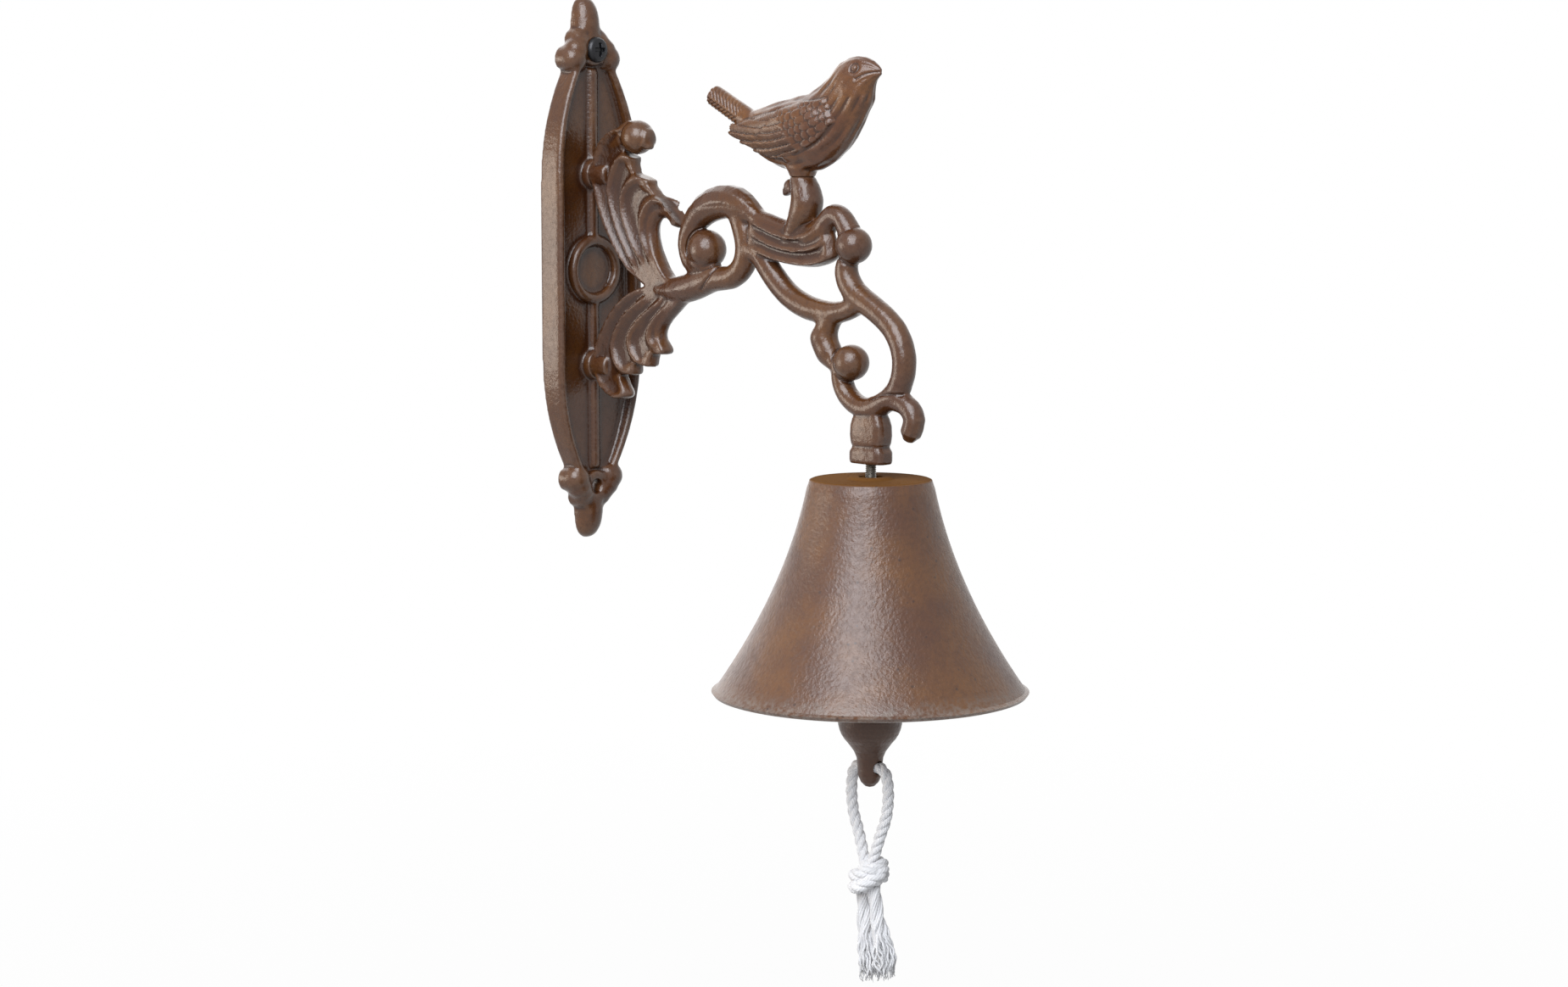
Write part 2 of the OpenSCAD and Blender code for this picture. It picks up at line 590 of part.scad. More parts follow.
// Foot of the arm on its seat
module foot(z) {
    n = 18;
    skin([
        for (s = [[-0.08, 0.46, 0], [0.17, 0.46, 8], [0.42, 0.43, -3], [0.63, 0.38, 6]])
            [
                for (i = [0 : n - 1])
                    let (a = 360 * i / n + s[2])
                    [-s[1] * seat_d * cos(a), -seat_depth - s[0] * seat_d, z + s[1] * seat_d * sin(a)]
            ]
    ], 0.2);
}

module arm() {
    color(iron) difference() {
        cast() {
            for (k = [0 : len(bars) - 1]) bar(placed(bars[k]), across = 1.04 - 0.017 * k);
            leaf([for (s = leaves) leafed(s)], 0.11, 34);
            bar(leafed(knob), across = 0.9);
            leaf([for (k = [2 : -1 : 0]) placed(sash[k])], 0, 12);
            for (end = [-1, 1]) foot(end * seat_pitch / 2);
            perch();
            collar();
        }
        for (end = [-1, 1]) {
            rod(-1, seat_depth, 3 * seat_d, end * seat_pitch / 2);
            rod(0, arm_screw_l + 0.8, arm_screw_d + 2 * thread_clear, end * seat_pitch / 2);
        }
        translate([0, perch_y, perch_z - stud_l / 2 - 0.4])
            cylinder(d = stud_d + 2 * thread_clear, h = stud_l, $fn = 48);
        translate([0, -reach, collar_z - 1])
            cylinder(d = bolt_d + 2 * thread_clear, h = bolt_grip + 1.4, $fn = 48);
    }
}

module bird_stud() {
    color(zinc) translate([0, perch_y, perch_z - stud_l / 2]) cylinder(d = stud_d, h = stud_l, $fn = 48);
}

// Part of the bird along stations of [ahead, up, half height]; across gives its half width
module plump(stations, across, steps = 2, sides = 16) {
    s = curve(perched(stations), steps);
    flat = [for (p = s) [p[0], p[1]]];
    skin([
        for (i = [0 : len(s) - 1])
            oval(flat[i], way(flat, i), s[i][2], across * s[i][2], sides, 0.5 + 0.2 * (i % 2))
    ]);
}
module bird() {
    wing_t = 3.7 * bird_k;
    slim = (bird_w / bird_k - 3) / 26.4;
    color(dark_iron) difference() {
        cast() {
            plump(bird_body, slim);
            plump(bird_neck, 0.96);
            plump(bird_tail, 0.9, sides = 12);
            for (x = [-1, 1])
                translate([x * (bird_w / 2 - wing_t), 0, 0]) plump(bird_wing, 0.5, sides = 12);
        }
        translate([0, perch_y, perch_z - bird_w]) cylinder(d = 3 * bird_w, h = bird_w, $fn = 48);
        translate([0, perch_y, perch_z - 1])
            cylinder(d = stud_d + 2 * thread_clear, h = stud_l / 2 + 1.4, $fn = 48);
    }
}

// Bolt from the collar through the bell, with the clapper's eye at its end
module eye_bolt() {
    color(zinc) translate([0, -reach, 0]) {
        translate([0, 0, eye_z + eye_r])
            cylinder(d = bolt_d, h = collar_z + bolt_grip - eye_z - eye_r, $fn = 48);
        translate([0, 0, eye_z]) rotate([90, 0, 0]) torus(eye_r, eye_wire);
    }
}
module torus(r, wire) rotate_extrude($fn = 64) translate([r, 0]) circle(d = wire, $fn = 32);

// Outer radius of the bell at the share s of its height, from the crown down
function bell_r(s) = crown_d / 2 + (mouth_d - crown_d) / 2 * ((1 - flare) * s + flare * s * s);
module bell() {
    n = 22;
    lip = bell_wall / 2;
    edge = 1.2;
    inner_h = bell_h - crown_wall;
    outside = [for (k = [1 : n]) let (s = k / n * (1 - lip / bell_h)) [bell_r(s), -s * bell_h]];
    rim = [for (a = [20 : 35 : 160]) [mouth_d / 2 - lip + lip * cos(a), -bell_h + lip - lip * sin(a)]];
    inside = [
        for (k = [n : -1 : 1])
            let (z = -crown_wall - k / n * (inner_h - lip), s = -z / bell_h)
            [bell_r(s) - bell_wall * (1 + 0.25 * s), z]
    ];
    color(iron) translate([0, -reach, crown_z]) rotate_extrude($fn = 96) polygon(concat(
        [[crown_hole_d / 2, -crown_wall], [crown_hole_d / 2, crown_seat_h],
         [crown_seat_d / 2 - 1.5, crown_seat_h], [crown_seat_d / 2, 0], [crown_d / 2 - edge, 0],
         [crown_d / 2 - 0.3 * edge, -0.3 * edge]],
        outside, rim, inside,
        [[bell_r(crown_wall / bell_h) - bell_wall - 2, -crown_wall]]
    ));
}

module bell_washer() {
    color(zinc) translate([0, -reach, nut_z]) difference() {
        cylinder(d = washer_d, h = washer_t, $fn = 48);
        translate([0, 0, -1]) cylinder(d = bolt_d + 2 * hole_clear, h = washer_t + 2, $fn = 48);
    }
}
// Hexagon nut whose top is at z
module nut(z) {
    color(zinc) translate([0, -reach, z - nut_h]) difference() {
        cylinder(d = nut_w / cos(30), h = nut_h, $fn = 6);
        translate([0, 0, -1]) cylinder(d = bolt_d + 2 * thread_clear, h = nut_h + 2, $fn = 48);
    }
}
module bell_nut() nut(nut_z);
module lock_nut() nut(nut_z - nut_h);

module clapper_link() {
    color(zinc) translate([0, -reach, link_z]) rotate([0, 90, 0]) torus(link_r, link_wire);
}

module clapper() {
    r = clapper_d / 2;
    stem = stem_d / 2;
    tail = tail_d / 2;
    top = clapper_eye_z - eye_r - ball_z;
    tip = -r - tail_l;
    join = asin((stem + 1) / r);
    color(dark_iron) translate([0, -reach, 0]) difference() {
        union() {
            translate([0, 0, ball_z]) rotate_extrude($fn = 64) polygon(concat(
                [[0, top + 0.5], [stem - 1, top], [stem, top - 4], [stem, r + 3]],
                [for (a = [join : (136 - join) / 12 : 136.1]) [r * sin(a), r * cos(a)]],
                [[tail + 1.2, 0.1 - r], [tail + 0.3, -r - 2.1], [tail, -r - 4.5], [tail - 0.2, tip + 4.4],
                 [tail - 1.3, tip + 2], [tail - 2.8, tip + 0.5], [0, tip]]
            ));
            translate([0, 0, clapper_eye_z]) rotate([90, 0, 0]) torus(eye_r, eye_wire);
        }
        translate([0, tail_d, rope_hole_z]) rotate([90, 0, 0])
            cylinder(d = rope_hole_d, h = 2 * tail_d, $fn = 48);
    }
}

// Rope along places of [along the arm, across, up] from the middle of its hole
module cord(route, r, steps, sides = 10) {
    s = curve([for (p = route) [p[1], -reach - p[0], rope_hole_z + p[2]]], steps);
    skin([for (i = [0 : len(s) - 1]) hoop(s[i], way(s, i), r, sides)]);
}
module rope_loop() {
    color(cotton) cord([for (p = rope_route) [p[0], 0, p[1]]], rope_r, 2);
}
// Overhand knot in the doubled rope
module rope_knot() {
    profile = [
        [0, -33], [4.4, -33.4], [6.4, -35.4], [7.2, -38], [6.8, -40.4], [7, -42.6], [5.8, -45.2], [4, -46.4]
    ];
    color(cotton) translate([0, -reach + 0.4, rope_hole_z])
        rotate_extrude($fn = 32) polygon(concat(profile, [[0, -46.4]]));
}
// Loose end of the rope that opens into a brush
module loose_end(route) {
    s = curve(route, 2);
    skin([
        for (i = [0 : len(s) - 1])
            hoop([0, -reach - s[i][0], rope_hole_z + s[i][1]], [0, 0, -1], s[i][2], 10)
    ]);
}
module rope_tail_left() {
    color(cotton) loose_end(left_tail_route);
}
module rope_tail_right() {
    color(cotton) loose_end(right_tail_route);
}

wall_plate();
wall_screw();
upper_arm_screw();
lower_arm_screw();
arm();
bird_stud();
bird();
eye_bolt();
bell();
bell_washer();
bell_nut();
lock_nut();
clapper_link();
clapper();
rope_loop();
rope_knot();
rope_tail_left();
rope_tail_right();
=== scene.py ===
"""Looks of a cast-iron wall bell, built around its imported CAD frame.

The castings are copied from the frame, smoothed and carved; the screws get their recesses, the bolt its
thread, and the pull rope its strands, knot and frayed ends. Shapes are worked out in millimetres and handed
to Blender in metres.
"""

import json
import math

import bmesh
import bpy
import numpy as np
from bpy.props import FloatProperty, FloatVectorProperty, IntProperty, PointerProperty
from mathutils import Matrix, Vector


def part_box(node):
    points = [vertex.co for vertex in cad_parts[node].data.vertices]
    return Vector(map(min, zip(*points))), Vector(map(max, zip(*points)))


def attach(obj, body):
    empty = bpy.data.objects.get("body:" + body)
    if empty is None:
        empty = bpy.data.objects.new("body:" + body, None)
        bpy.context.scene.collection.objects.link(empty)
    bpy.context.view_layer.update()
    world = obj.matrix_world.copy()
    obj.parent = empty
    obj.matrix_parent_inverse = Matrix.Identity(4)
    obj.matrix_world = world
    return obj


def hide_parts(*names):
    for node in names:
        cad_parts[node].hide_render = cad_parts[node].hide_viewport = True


bl_info = {
    "name": "Wall Bell",
    "version": (1, 0, 0),
    "blender": (4, 5, 0),
    "location": "3D View > Sidebar > Wall Bell",
    "description": "Dresses a cast-iron wall bell with a wren on its arm and a cotton pull rope",
    "category": "Object",
}

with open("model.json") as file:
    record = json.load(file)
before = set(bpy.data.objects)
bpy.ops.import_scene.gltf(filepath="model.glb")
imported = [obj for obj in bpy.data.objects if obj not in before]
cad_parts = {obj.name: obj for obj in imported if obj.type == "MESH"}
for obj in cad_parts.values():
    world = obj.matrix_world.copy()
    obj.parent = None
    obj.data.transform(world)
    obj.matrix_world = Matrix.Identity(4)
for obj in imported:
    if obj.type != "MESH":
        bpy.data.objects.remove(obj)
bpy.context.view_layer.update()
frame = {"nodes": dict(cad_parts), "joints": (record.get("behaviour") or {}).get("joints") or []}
NODES = frame["nodes"]
JOINTS = {joint["name"]: joint for joint in frame["joints"]}
MM = 0.001

# Places that the frame gives, in millimetres
ROPE_HOLE = np.array(JOINTS["rope_swing"]["pos_m"]) / MM
PERCH = np.array([*(sum(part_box("bird_stud"), Vector()) / 2).xy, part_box("bird")[0].z]) / MM

# Camera, in metres and degrees: what it looks at, how far off it stands, and its turn and rise
AIM = Vector((0, -104.7, -77.5)) * MM
CAMERA_FAR = 1173 * MM
CAMERA_TURN, CAMERA_RISE = -47, 6.73
# The sensor's width, times the photograph's focal length over its width, both in pixels
LENS = 36 * 3830 / 1849
# Softboxes, in metres and degrees: name, turn and rise from the aim, distance, width, height, watts and tint
LAMPS = (
    ("key_softbox", -64, 40, 1.3, 0.95, 1.2, 27.0, "#f5f9ff"),
    ("left_softbox", -135, -2, 1.5, 0.6, 0.9, 9.0, "#fff3e4"),
    ("back_softbox", 148, 22, 1.5, 2.2, 2.0, 14.0, "#ffffff"),
)
# Strength of the white surround as a light on dull surfaces, and as the eye and the gloss see it
SURROUND_LIGHT, SURROUND_SEEN = 0.2, 1.0
# Floor, in metres: its height and half of its width; then the share of white under the object, and the
# distances from the aim between which that grows to all white
FLOOR_Z, FLOOR_HALF = -0.33, 40
FLOOR_WHITE, FLOOR_FADE = 0.965, (0.3, 0.9)

# Route of the rope's two legs: along the arm from the hole's middle, and height over it, in millimetres
LEFT_LEG = [
    (0, 0), (-3, 0), (-5.6, -0.2), (-7.8, -2.6), (-8.6, -7), (-8.6, -12), (-7.6, -18), (-5.4, -24),
    (-3.6, -30), (-2.6, -34), (-1.4, -37),
]
RIGHT_LEG = [
    (0, 0), (3, 0), (5.6, -0.2), (7.8, -2.6), (8.6, -7), (8.6, -12), (7.6, -18), (5.2, -24),
    (3, -30), (1.4, -34), (0.4, -37),
]
LEFT_TAIL = [(-3, -43), (-2.6, -54), (-1.4, -64), (-0.2, -72), (0.4, -79)]
RIGHT_TAIL = [(2, -43), (3.6, -54), (5.6, -62), (7, -70), (7.6, -77)]
# Middle of the knot, its ways to the right and to the viewer, and its band's places along them and upward
KNOT = (-0.4, -39.8)
KNOT_RIGHT, KNOT_NEAR = np.array([0.682, -0.731, 0]), np.array([-0.731, -0.682, 0])
KNOT_BAND = [
    (2.4, -3, 3), (4.9, 1.6, 3.2), (4, 4.6, 1.9), (0.6, 5.6, -0.3), (-3, 4.8, -2.6), (-5, 1.4, -3.8),
    (-3.4, -2, -3.6),
]
# Strands of the rope: how many, and as shares of its radius, how far out they lie and how thick they are
STRANDS, STRAND_OUT, STRAND_R = 3, 0.5, 0.56
# Yarns that show round one strand, and the length in which they turn once, in millimetres
YARNS_ROUND, YARN_LAY = 6, 7

# Round forms of the castings: distance from the wall's middle, depth and height of the centre, and radius
ARM_BALLS = [
    (0, -66.2, 9.4, 7.2), (0, -138.2, 12.8, 6.5), (0, -137.2, -28.4, 6.4), (0, -30.4, 50, 6.3),
]
ARM_LUMPS = [
    (0, -124, -20.4, 5.0), (0, -126.4, -24.6, 4.7), (0, -108, 33.2, 2.6), (0, -106.4, 31.6, 1.9),
]
PLATE_KNOBS = [
    (x * side, depth, z * end, r)
    for x, depth, z, r in ((8.6, -4.6, 79.2, 5.4), (7, -4.7, 82.2, 4.9), (5.2, -4.4, 84.6, 4.4))
    for side in (-1, 1)
    for end in (-1, 1)
]
# Distances from the wall between which one form of the arm passes into the next
FEET_END, LEAVES_END, SPUR_END = (13, 17), (50, 60), (117, 119)
SASH_START, SASH_END = (88, 94), (124, 132)
# Heights between which they do
SASH_FOOT, SASH_TOP = (2, 6), (19, 22)
SPUR_FOOT, STALK_TOP, COLLAR_TOP = (24, 26), (34, 36), (-47, -44)
# Creases that the pattern maker cut into the arm: distance from the wall and height of their places
ARM_CREASES = [
    [(66.6, -5.2), (70.4, -1), (73.6, 4), (75, 8)],
    [(149, -40.2), (155, -38.6), (162.6, -38.2)],
]
# Depth and width of a crease, and of the groove round a ball with its distance from the ball
CREASE_DEPTH, CREASE_WIDTH = 0.7, 0.6
GROOVE_DEPTH, GROOVE_WIDTH, GROOVE_OUT = 0.6, 0.5, 0.7

# Middle lines of the wren, from the perch: distance ahead, height, half of the height there
WREN_SPINE = [
    (-31.4, 18, 2.2), (-25, 17.5, 6), (-17, 16, 9.5), (-8, 15.1, 12.3), (1.3, 15, 13.7), (9.2, 17.2, 13.5),
    (16.2, 22.4, 12), (21.6, 28.2, 10.5), (25.6, 33, 9.6), (29.8, 35.8, 7.3), (33.8, 36.8, 3.9),
    (37.2, 36.6, 1),
]
WREN_WING = [(17.4, 22.8, 5), (7.8, 18.6, 8.4), (-5.6, 15.2, 8.6), (-18, 15.2, 6.4), (-30.4, 16.6, 2.4)]
WREN_TAIL = [(-24, 18.7, 4.2), (-33.4, 23.6, 4.2), (-44.4, 29.3, 4)]
WREN_GAPE = [(29.4, 34.2), (32, 35.6), (34.6, 36.4), (37.6, 36.8)]
WREN_EYE = (28.4, 38)
# Height over the perch where the carving starts, and distance ahead where the beak does
WREN_SEAT, WREN_BEAK = (1, 4), (31, 35)
# Sizes of the feathers: rows and lengths of the coverts, width of the long feathers, pitch of their barbs,
# step between their two tiers, and pitch of the tail's barbs
COVERT_ROW, COVERT_L = 2.7, 3.3
FEATHER_W, BARB_PITCH, TIER_STEP, TAIL_BARB_PITCH = 2.5, 1.5, 0.4, 1.9

# Threads: rows of points in one pitch
THREAD_ROWS = 8


def linear(code):
    """Linear colour of an sRGB hex code."""
    values = [int(code[i : i + 2], 16) / 255 for i in (1, 3, 5)]
    return (*[v / 12.92 if v <= 0.04045 else ((v + 0.055) / 1.055) ** 2.4 for v in values], 1.0)


class WallBellSettings(bpy.types.PropertyGroup):
    """Sizes and colours of the wall bell's finish"""

    casting_step: FloatProperty(
        name="Casting step", description="Spacing of the points on the carved castings",
        default=0.45 * MM, unit="LENGTH", precision=5,
    )
    bird_step: FloatProperty(
        name="Bird step", description="Spacing of the points on the carved bird",
        default=0.32 * MM, unit="LENGTH", precision=5,
    )
    pebble: FloatProperty(
        name="Pebble", description="Width of the sand pebbles that the mould leaves on the iron",
        default=1.3 * MM, unit="LENGTH", precision=5,
    )
    thread_pitch: FloatProperty(
        name="Thread pitch", description="Pitch of the bolt's thread",
        default=0.7 * MM, unit="LENGTH", precision=5,
    )
    rope_d: FloatProperty(
        name="Rope diameter", description="Diameter of the twisted pull rope",
        default=4 * MM, unit="LENGTH",
    )
    rope_lay: FloatProperty(
        name="Rope lay", description="Length of one turn of a strand",
        default=11 * MM, unit="LENGTH",
    )
    yarns: IntProperty(
        name="Yarns", description="Loose yarns in each frayed end",
        default=60, min=3,
    )
    iron: FloatVectorProperty(
        name="Iron", description="Brown lacquer of the castings",
        subtype="COLOR", size=4, default=linear("#563119"),
    )
    rust: FloatVectorProperty(
        name="Rust", description="Ochre bloom in the lacquer",
        subtype="COLOR", size=4, default=linear("#70461d"),
    )
    # Dark lacquer of the specks and hollows; laid into the creases it is partly painted shade
    hollow: FloatVectorProperty(
        name="Hollow", description="Lacquer pooled in the hollows",
        subtype="COLOR", size=4, default=linear("#32190c"),
    )
    # Grey of rubbed metal: wear on the bell's lip, and on the ridges partly a painted highlight
    worn_and_sheen: FloatVectorProperty(
        name="Worn", description="Rubbed metal on the ridges",
        subtype="COLOR", size=4, default=linear("#8a7f76"),
    )
    cotton: FloatVectorProperty(
        name="Cotton", description="White cotton of the rope",
        subtype="COLOR", size=4, default=linear("#f4f4f6"),
    )


# Shapes


def ease(value, low, high):
    """0 below low, 1 above high, and a smooth way between them."""
    t = np.clip((value - low) / (high - low), 0, 1)
    return t * t * (3 - 2 * t)


def dot(a, b):
    """Dot products of two lists of vectors."""
    return np.einsum("ij,ij->i", a, b)


def catmull(points, step):
    """Smooth line through points, with its places about a step apart."""
    p = np.array(points, float)
    p = np.vstack([2 * p[0] - p[1], p, 2 * p[-1] - p[-2]])
    out = []
    for a, b, c, d in zip(p, p[1:], p[2:], p[3:]):
        for t in np.linspace(0, 1, max(2, round(np.linalg.norm(c - b) / step)), endpoint=False):
            out.append(
                b + 0.5 * t * (c - a + t * (2 * a - 5 * b + 4 * c - d + t * (3 * (b - c) + d - a)))
            )
    return np.array([*out, p[-2]])


def frames(path):
    """Two directions square to a path at each of its places, which don't spin about it."""
    along = np.gradient(path, axis=0)
    along /= np.linalg.norm(along, axis=1)[:, None]
    # Any start that no path of this part runs along
    u = np.cross(along[0], [1.0, 0.31, 0.17])
    ways = []
    for w in along:
        u = u - w * (u @ w)
        u = u / np.linalg.norm(u)
        ways.append(u)
    ways = np.array(ways)
    return ways, np.cross(along, ways)


def lengths(path):
    """Distance of each place of a path from its start."""
    return np.concatenate([[0], np.cumsum(np.linalg.norm(np.diff(path, axis=0), axis=1))])


def thread_depth(height, pitch, angles):
    """Share of a thread's depth at a height and at angles: 0 on its crest, 1 at its root."""
    return np.abs(2 * ((height / pitch - angles / (2 * math.pi)) % 1) - 1)


class Shell:
    """Points, faces and a map of the faces, collected piece by piece, in millimetres."""

    def __init__(self):
        self.points, self.faces, self.corners, self.count = [], [], [], 0

    def rings(self, grid, along=None, closed=False):
        """Adds a skin over rings of points, with its ends closed unless it joins itself."""
        m, n = len(grid), len(grid[0])
        along = np.arange(m) if along is None else along
        self.points.extend(np.reshape(grid, (-1, 3)))
        for i in range(m if closed else m - 1):
            k = (i + 1) % m
            a, b = self.count + i * n, self.count + k * n
            low, high = along[i], along[k] if k else along[i] + along[1]
            for j in range(n):
                self.faces.append((a + j, a + (j + 1) % n, b + (j + 1) % n, b + j))
                self.corners.extend([(low, j / n), (low, (j + 1) / n), (high, (j + 1) / n), (high, j / n)])
        if not closed:
            last = self.count + (m - 1) * n
            for start, order in ((self.count, range(n - 1, -1, -1)), (last, range(n))):
                self.faces.append(tuple(start + j for j in order))
                self.corners.extend([(0, 0)] * n)
        self.count += m * n
        return self

    def tube(self, path, radii, sides=10, closed=False):
        """Adds a round tube along a path."""
        path = np.array(path, float)
        u, v = frames(path)
        angles = np.linspace(0, 2 * math.pi, sides, endpoint=False)
        radii = np.broadcast_to(radii, len(path))
        grid = path[:, None] + radii[:, None, None] * (
            np.cos(angles)[None, :, None] * u[:, None] + np.sin(angles)[None, :, None] * v[:, None]
        )
        return self.rings(grid, lengths(path), closed)

    def rope(self, path, rope_r, lay, start=0.0, sides=14):
        """Adds the strands that are twisted round a path."""
        u, v = frames(path)
        run = lengths(path)
        for k in range(STRANDS):
            turn = start + 2 * math.pi * (k / STRANDS + run / lay)
            centre = path + STRAND_OUT * rope_r * (np.cos(turn)[:, None] * u + np.sin(turn)[:, None] * v)
            self.tube(centre, STRAND_R * rope_r, sides)
        return self

    def build(self, name, material, body, slot, replaces=()):
        """Makes the object, and puts it on its body."""
        mesh = bpy.data.meshes.new(name)
        mesh.from_pydata([tuple(np.array(p) * MM) for p in self.points], [], self.faces)
        layer = mesh.uv_layers.new(name="lay")
        layer.uv.foreach_set("vector", np.array(self.corners, np.float32).ravel())
        mesh.shade_smooth()
        piece = bpy.data.objects.new(name, mesh)
        bpy.context.scene.collection.objects.link(piece)
        return dress(piece, material, body, replaces)


def dress(piece, material, body, replaces=()):
    """Gives a piece its material, its body and the nodes that it stands for."""
    piece.data.materials.clear()
    piece.data.materials.append(material)
    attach(piece, body)
    if replaces:
        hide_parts(*replaces)
    return piece


def finish_node(node, material):
    """Gives a node of the frame a material."""
    NODES[node].data.materials.clear()
    NODES[node].data.materials.append(material)


def box_mm(node):
    """Lower and upper corner of a node's box, in millimetres."""
    return [np.array(corner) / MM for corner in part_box(node)]


def recast(node, name, step, passes, balls=()):
    """Copy of a casting with points a step apart, its facets smoothed away, and balls joined to it."""
    shape = bmesh.new()
    shape.from_mesh(NODES[node].data)
    for x, y, z, r in balls:
        place = Matrix.Translation(Vector((x, y, z)) * MM)
        bmesh.ops.create_icosphere(shape, subdivisions=4, radius=r * MM, matrix=place)
    mesh = bpy.data.meshes.new(name)
    shape.to_mesh(mesh)
    shape.free()
    piece = bpy.data.objects.new(name, mesh)
    bpy.context.scene.collection.objects.link(piece)
    remesh = piece.modifiers.new("points", "REMESH")
    remesh.mode = "VOXEL"
    remesh.voxel_size = step
    smooth = piece.modifiers.new("facets", "SMOOTH")
    smooth.factor = 0.5
    smooth.iterations = passes
    dense = bpy.data.meshes.new_from_object(piece.evaluated_get(bpy.context.evaluated_depsgraph_get()))
    piece.modifiers.clear()
    piece.data = dense
    dense.shade_smooth()
    if len(dense.vertices) < 1000:
        raise RuntimeError(f"{name} came out of its remesh with almost no points")
    return piece


def points_of(piece):
    """Points and normals of a piece, in millimetres."""
    count = len(piece.data.vertices)
    points, normals = np.zeros(count * 3, np.float32), np.zeros(count * 3, np.float32)
    piece.data.vertices.foreach_get("co", points)
    piece.data.vertices.foreach_get("normal", normals)
    return points.reshape(-1, 3).astype(float) / MM, normals.reshape(-1, 3).astype(float)


def put_points(piece, points):
    """Moves a piece's points, in millimetres."""
    piece.data.vertices.foreach_set("co", (points * MM).astype(np.float32).ravel())
    piece.data.update()


def spread(piece, values, rounds):
    """Values at a piece's points, averaged with those of their neighbours."""
    own, others = 0.4, 0.6
    count = len(piece.data.vertices)
    edges = np.zeros(len(piece.data.edges) * 2, np.int32)
    piece.data.edges.foreach_get("vertices", edges)
    a, b = edges[0::2], edges[1::2]
    share_each = 1 / np.maximum(np.bincount(a, minlength=count) + np.bincount(b, minlength=count), 1)
    values = np.atleast_2d(values.T).T.copy()
    for _ in range(rounds):
        for k in range(values.shape[1]):
            total = np.bincount(a, values[b, k], count) + np.bincount(b, values[a, k], count)
            values[:, k] = own * values[:, k] + others * total * share_each
    return values


def note_relief(piece, gain, broad=0.3, rounds=14):
    """Stores how far each point stands out of the surface round it: 0.5 is level, 1 a ridge, 0 a hollow.

    broad is the weight of the wide hollows, which are found over five times as many rounds.
    """
    points, normals = points_of(piece)
    near = spread(piece, points, rounds)
    proud = dot(points - near, normals)
    proud += broad * np.minimum(0, dot(points - spread(piece, near, 5 * rounds), normals))
    layer = piece.data.attributes.new("relief", "FLOAT", "POINT")
    layer.data.foreach_set("value", np.clip(0.5 + gain * proud, 0, 1).astype(np.float32))


def nearest(places, line):
    """Index of the point of a line that is nearest to each place, and the distance to it."""
    batch = 20000
    index = np.empty(len(places), int)
    for start in range(0, len(places), batch):
        part = places[start : start + batch]
        index[start : start + batch] = ((part[:, None] - line[None]) ** 2).sum(2).argmin(1)
    return index, np.linalg.norm(places - line[index], axis=1)


def far_from(places, route):
    """Distance of each place from a smooth line through a route, in one plane."""
    return nearest(places, catmull([(*p, 0) for p in route], 0.3)[:, :2])[1]


def along_line(places, stations):
    """Distance along a line of stations, offset to its left as a share of the half width, and that width."""
    line = catmull(stations, 0.4)
    way = np.gradient(line[:, :2], axis=0)
    way /= np.linalg.norm(way, axis=1)[:, None]
    index, _ = nearest(places, line[:, :2])
    offset = places - line[index, :2]
    left = offset[:, 1] * way[index, 0] - offset[:, 0] * way[index, 1]
    ahead = (offset * way[index]).sum(1)
    return lengths(line[:, :2])[index] + ahead, left / line[index, 2], line[index, 2]


# Materials


def add(tree, kind, inputs=None, **settings):
    """Adds a node with its settings; an input takes a value, or the output that it is linked to."""
    node = tree.nodes.new(kind)
    for key, value in settings.items():
        setattr(node, key, value)
    for key, value in (inputs or {}).items():
        if isinstance(value, bpy.types.NodeSocket):
            tree.links.new(value, node.inputs[key])
        else:
            node.inputs[key].default_value = value
    return node


def new_material(name):
    """Empty material, its tree and its Principled shader."""
    material = bpy.data.materials.new(name)
    material.use_nodes = True
    tree = material.node_tree
    tree.nodes.clear()
    shader = add(tree, "ShaderNodeBsdfPrincipled")
    add(tree, "ShaderNodeOutputMaterial", {"Surface": shader.outputs[0]})
    return material, tree, shader


def millimetres(tree):
    """Object coordinates in millimetres."""
    place = add(tree, "ShaderNodeTexCoord").outputs["Object"]
    return add(tree, "ShaderNodeVectorMath", {0: place, "Scale": 1 / MM}, operation="SCALE").outputs[0]


def grain(tree, place, size, detail, roughness):
    """Noise with lumps of about a size in millimetres."""
    inputs = {"Vector": place, "Scale": 1 / size, "Detail": detail, "Roughness": roughness}
    return add(tree, "ShaderNodeTexNoise", inputs).outputs[0]


def share(tree, value, low, high, top, bottom=0.0):
    """Share that goes from bottom, where a value is low, to top, where it is high."""
    limits = {"From Min": low, "From Max": high, "To Min": bottom, "To Max": top}
    return add(tree, "ShaderNodeMapRange", {"Value": value, **limits}).outputs[0]


def reckon(tree, operation, *values, **settings):
    """Result of arithmetic on values or outputs."""
    return add(tree, "ShaderNodeMath", dict(enumerate(values)), operation=operation, **settings).outputs[0]


def laid_over(tree, colour, amount, coat):
    """Colour with a share of another coat over it."""
    return add(tree, "ShaderNodeMix", {0: amount, 6: colour, 7: coat}, data_type="RGBA").outputs[2]


def toned(colour, tone):
    """Colour with its brightness times a tone."""
    return [c * tone for c in colour[:3]] + [1.0]


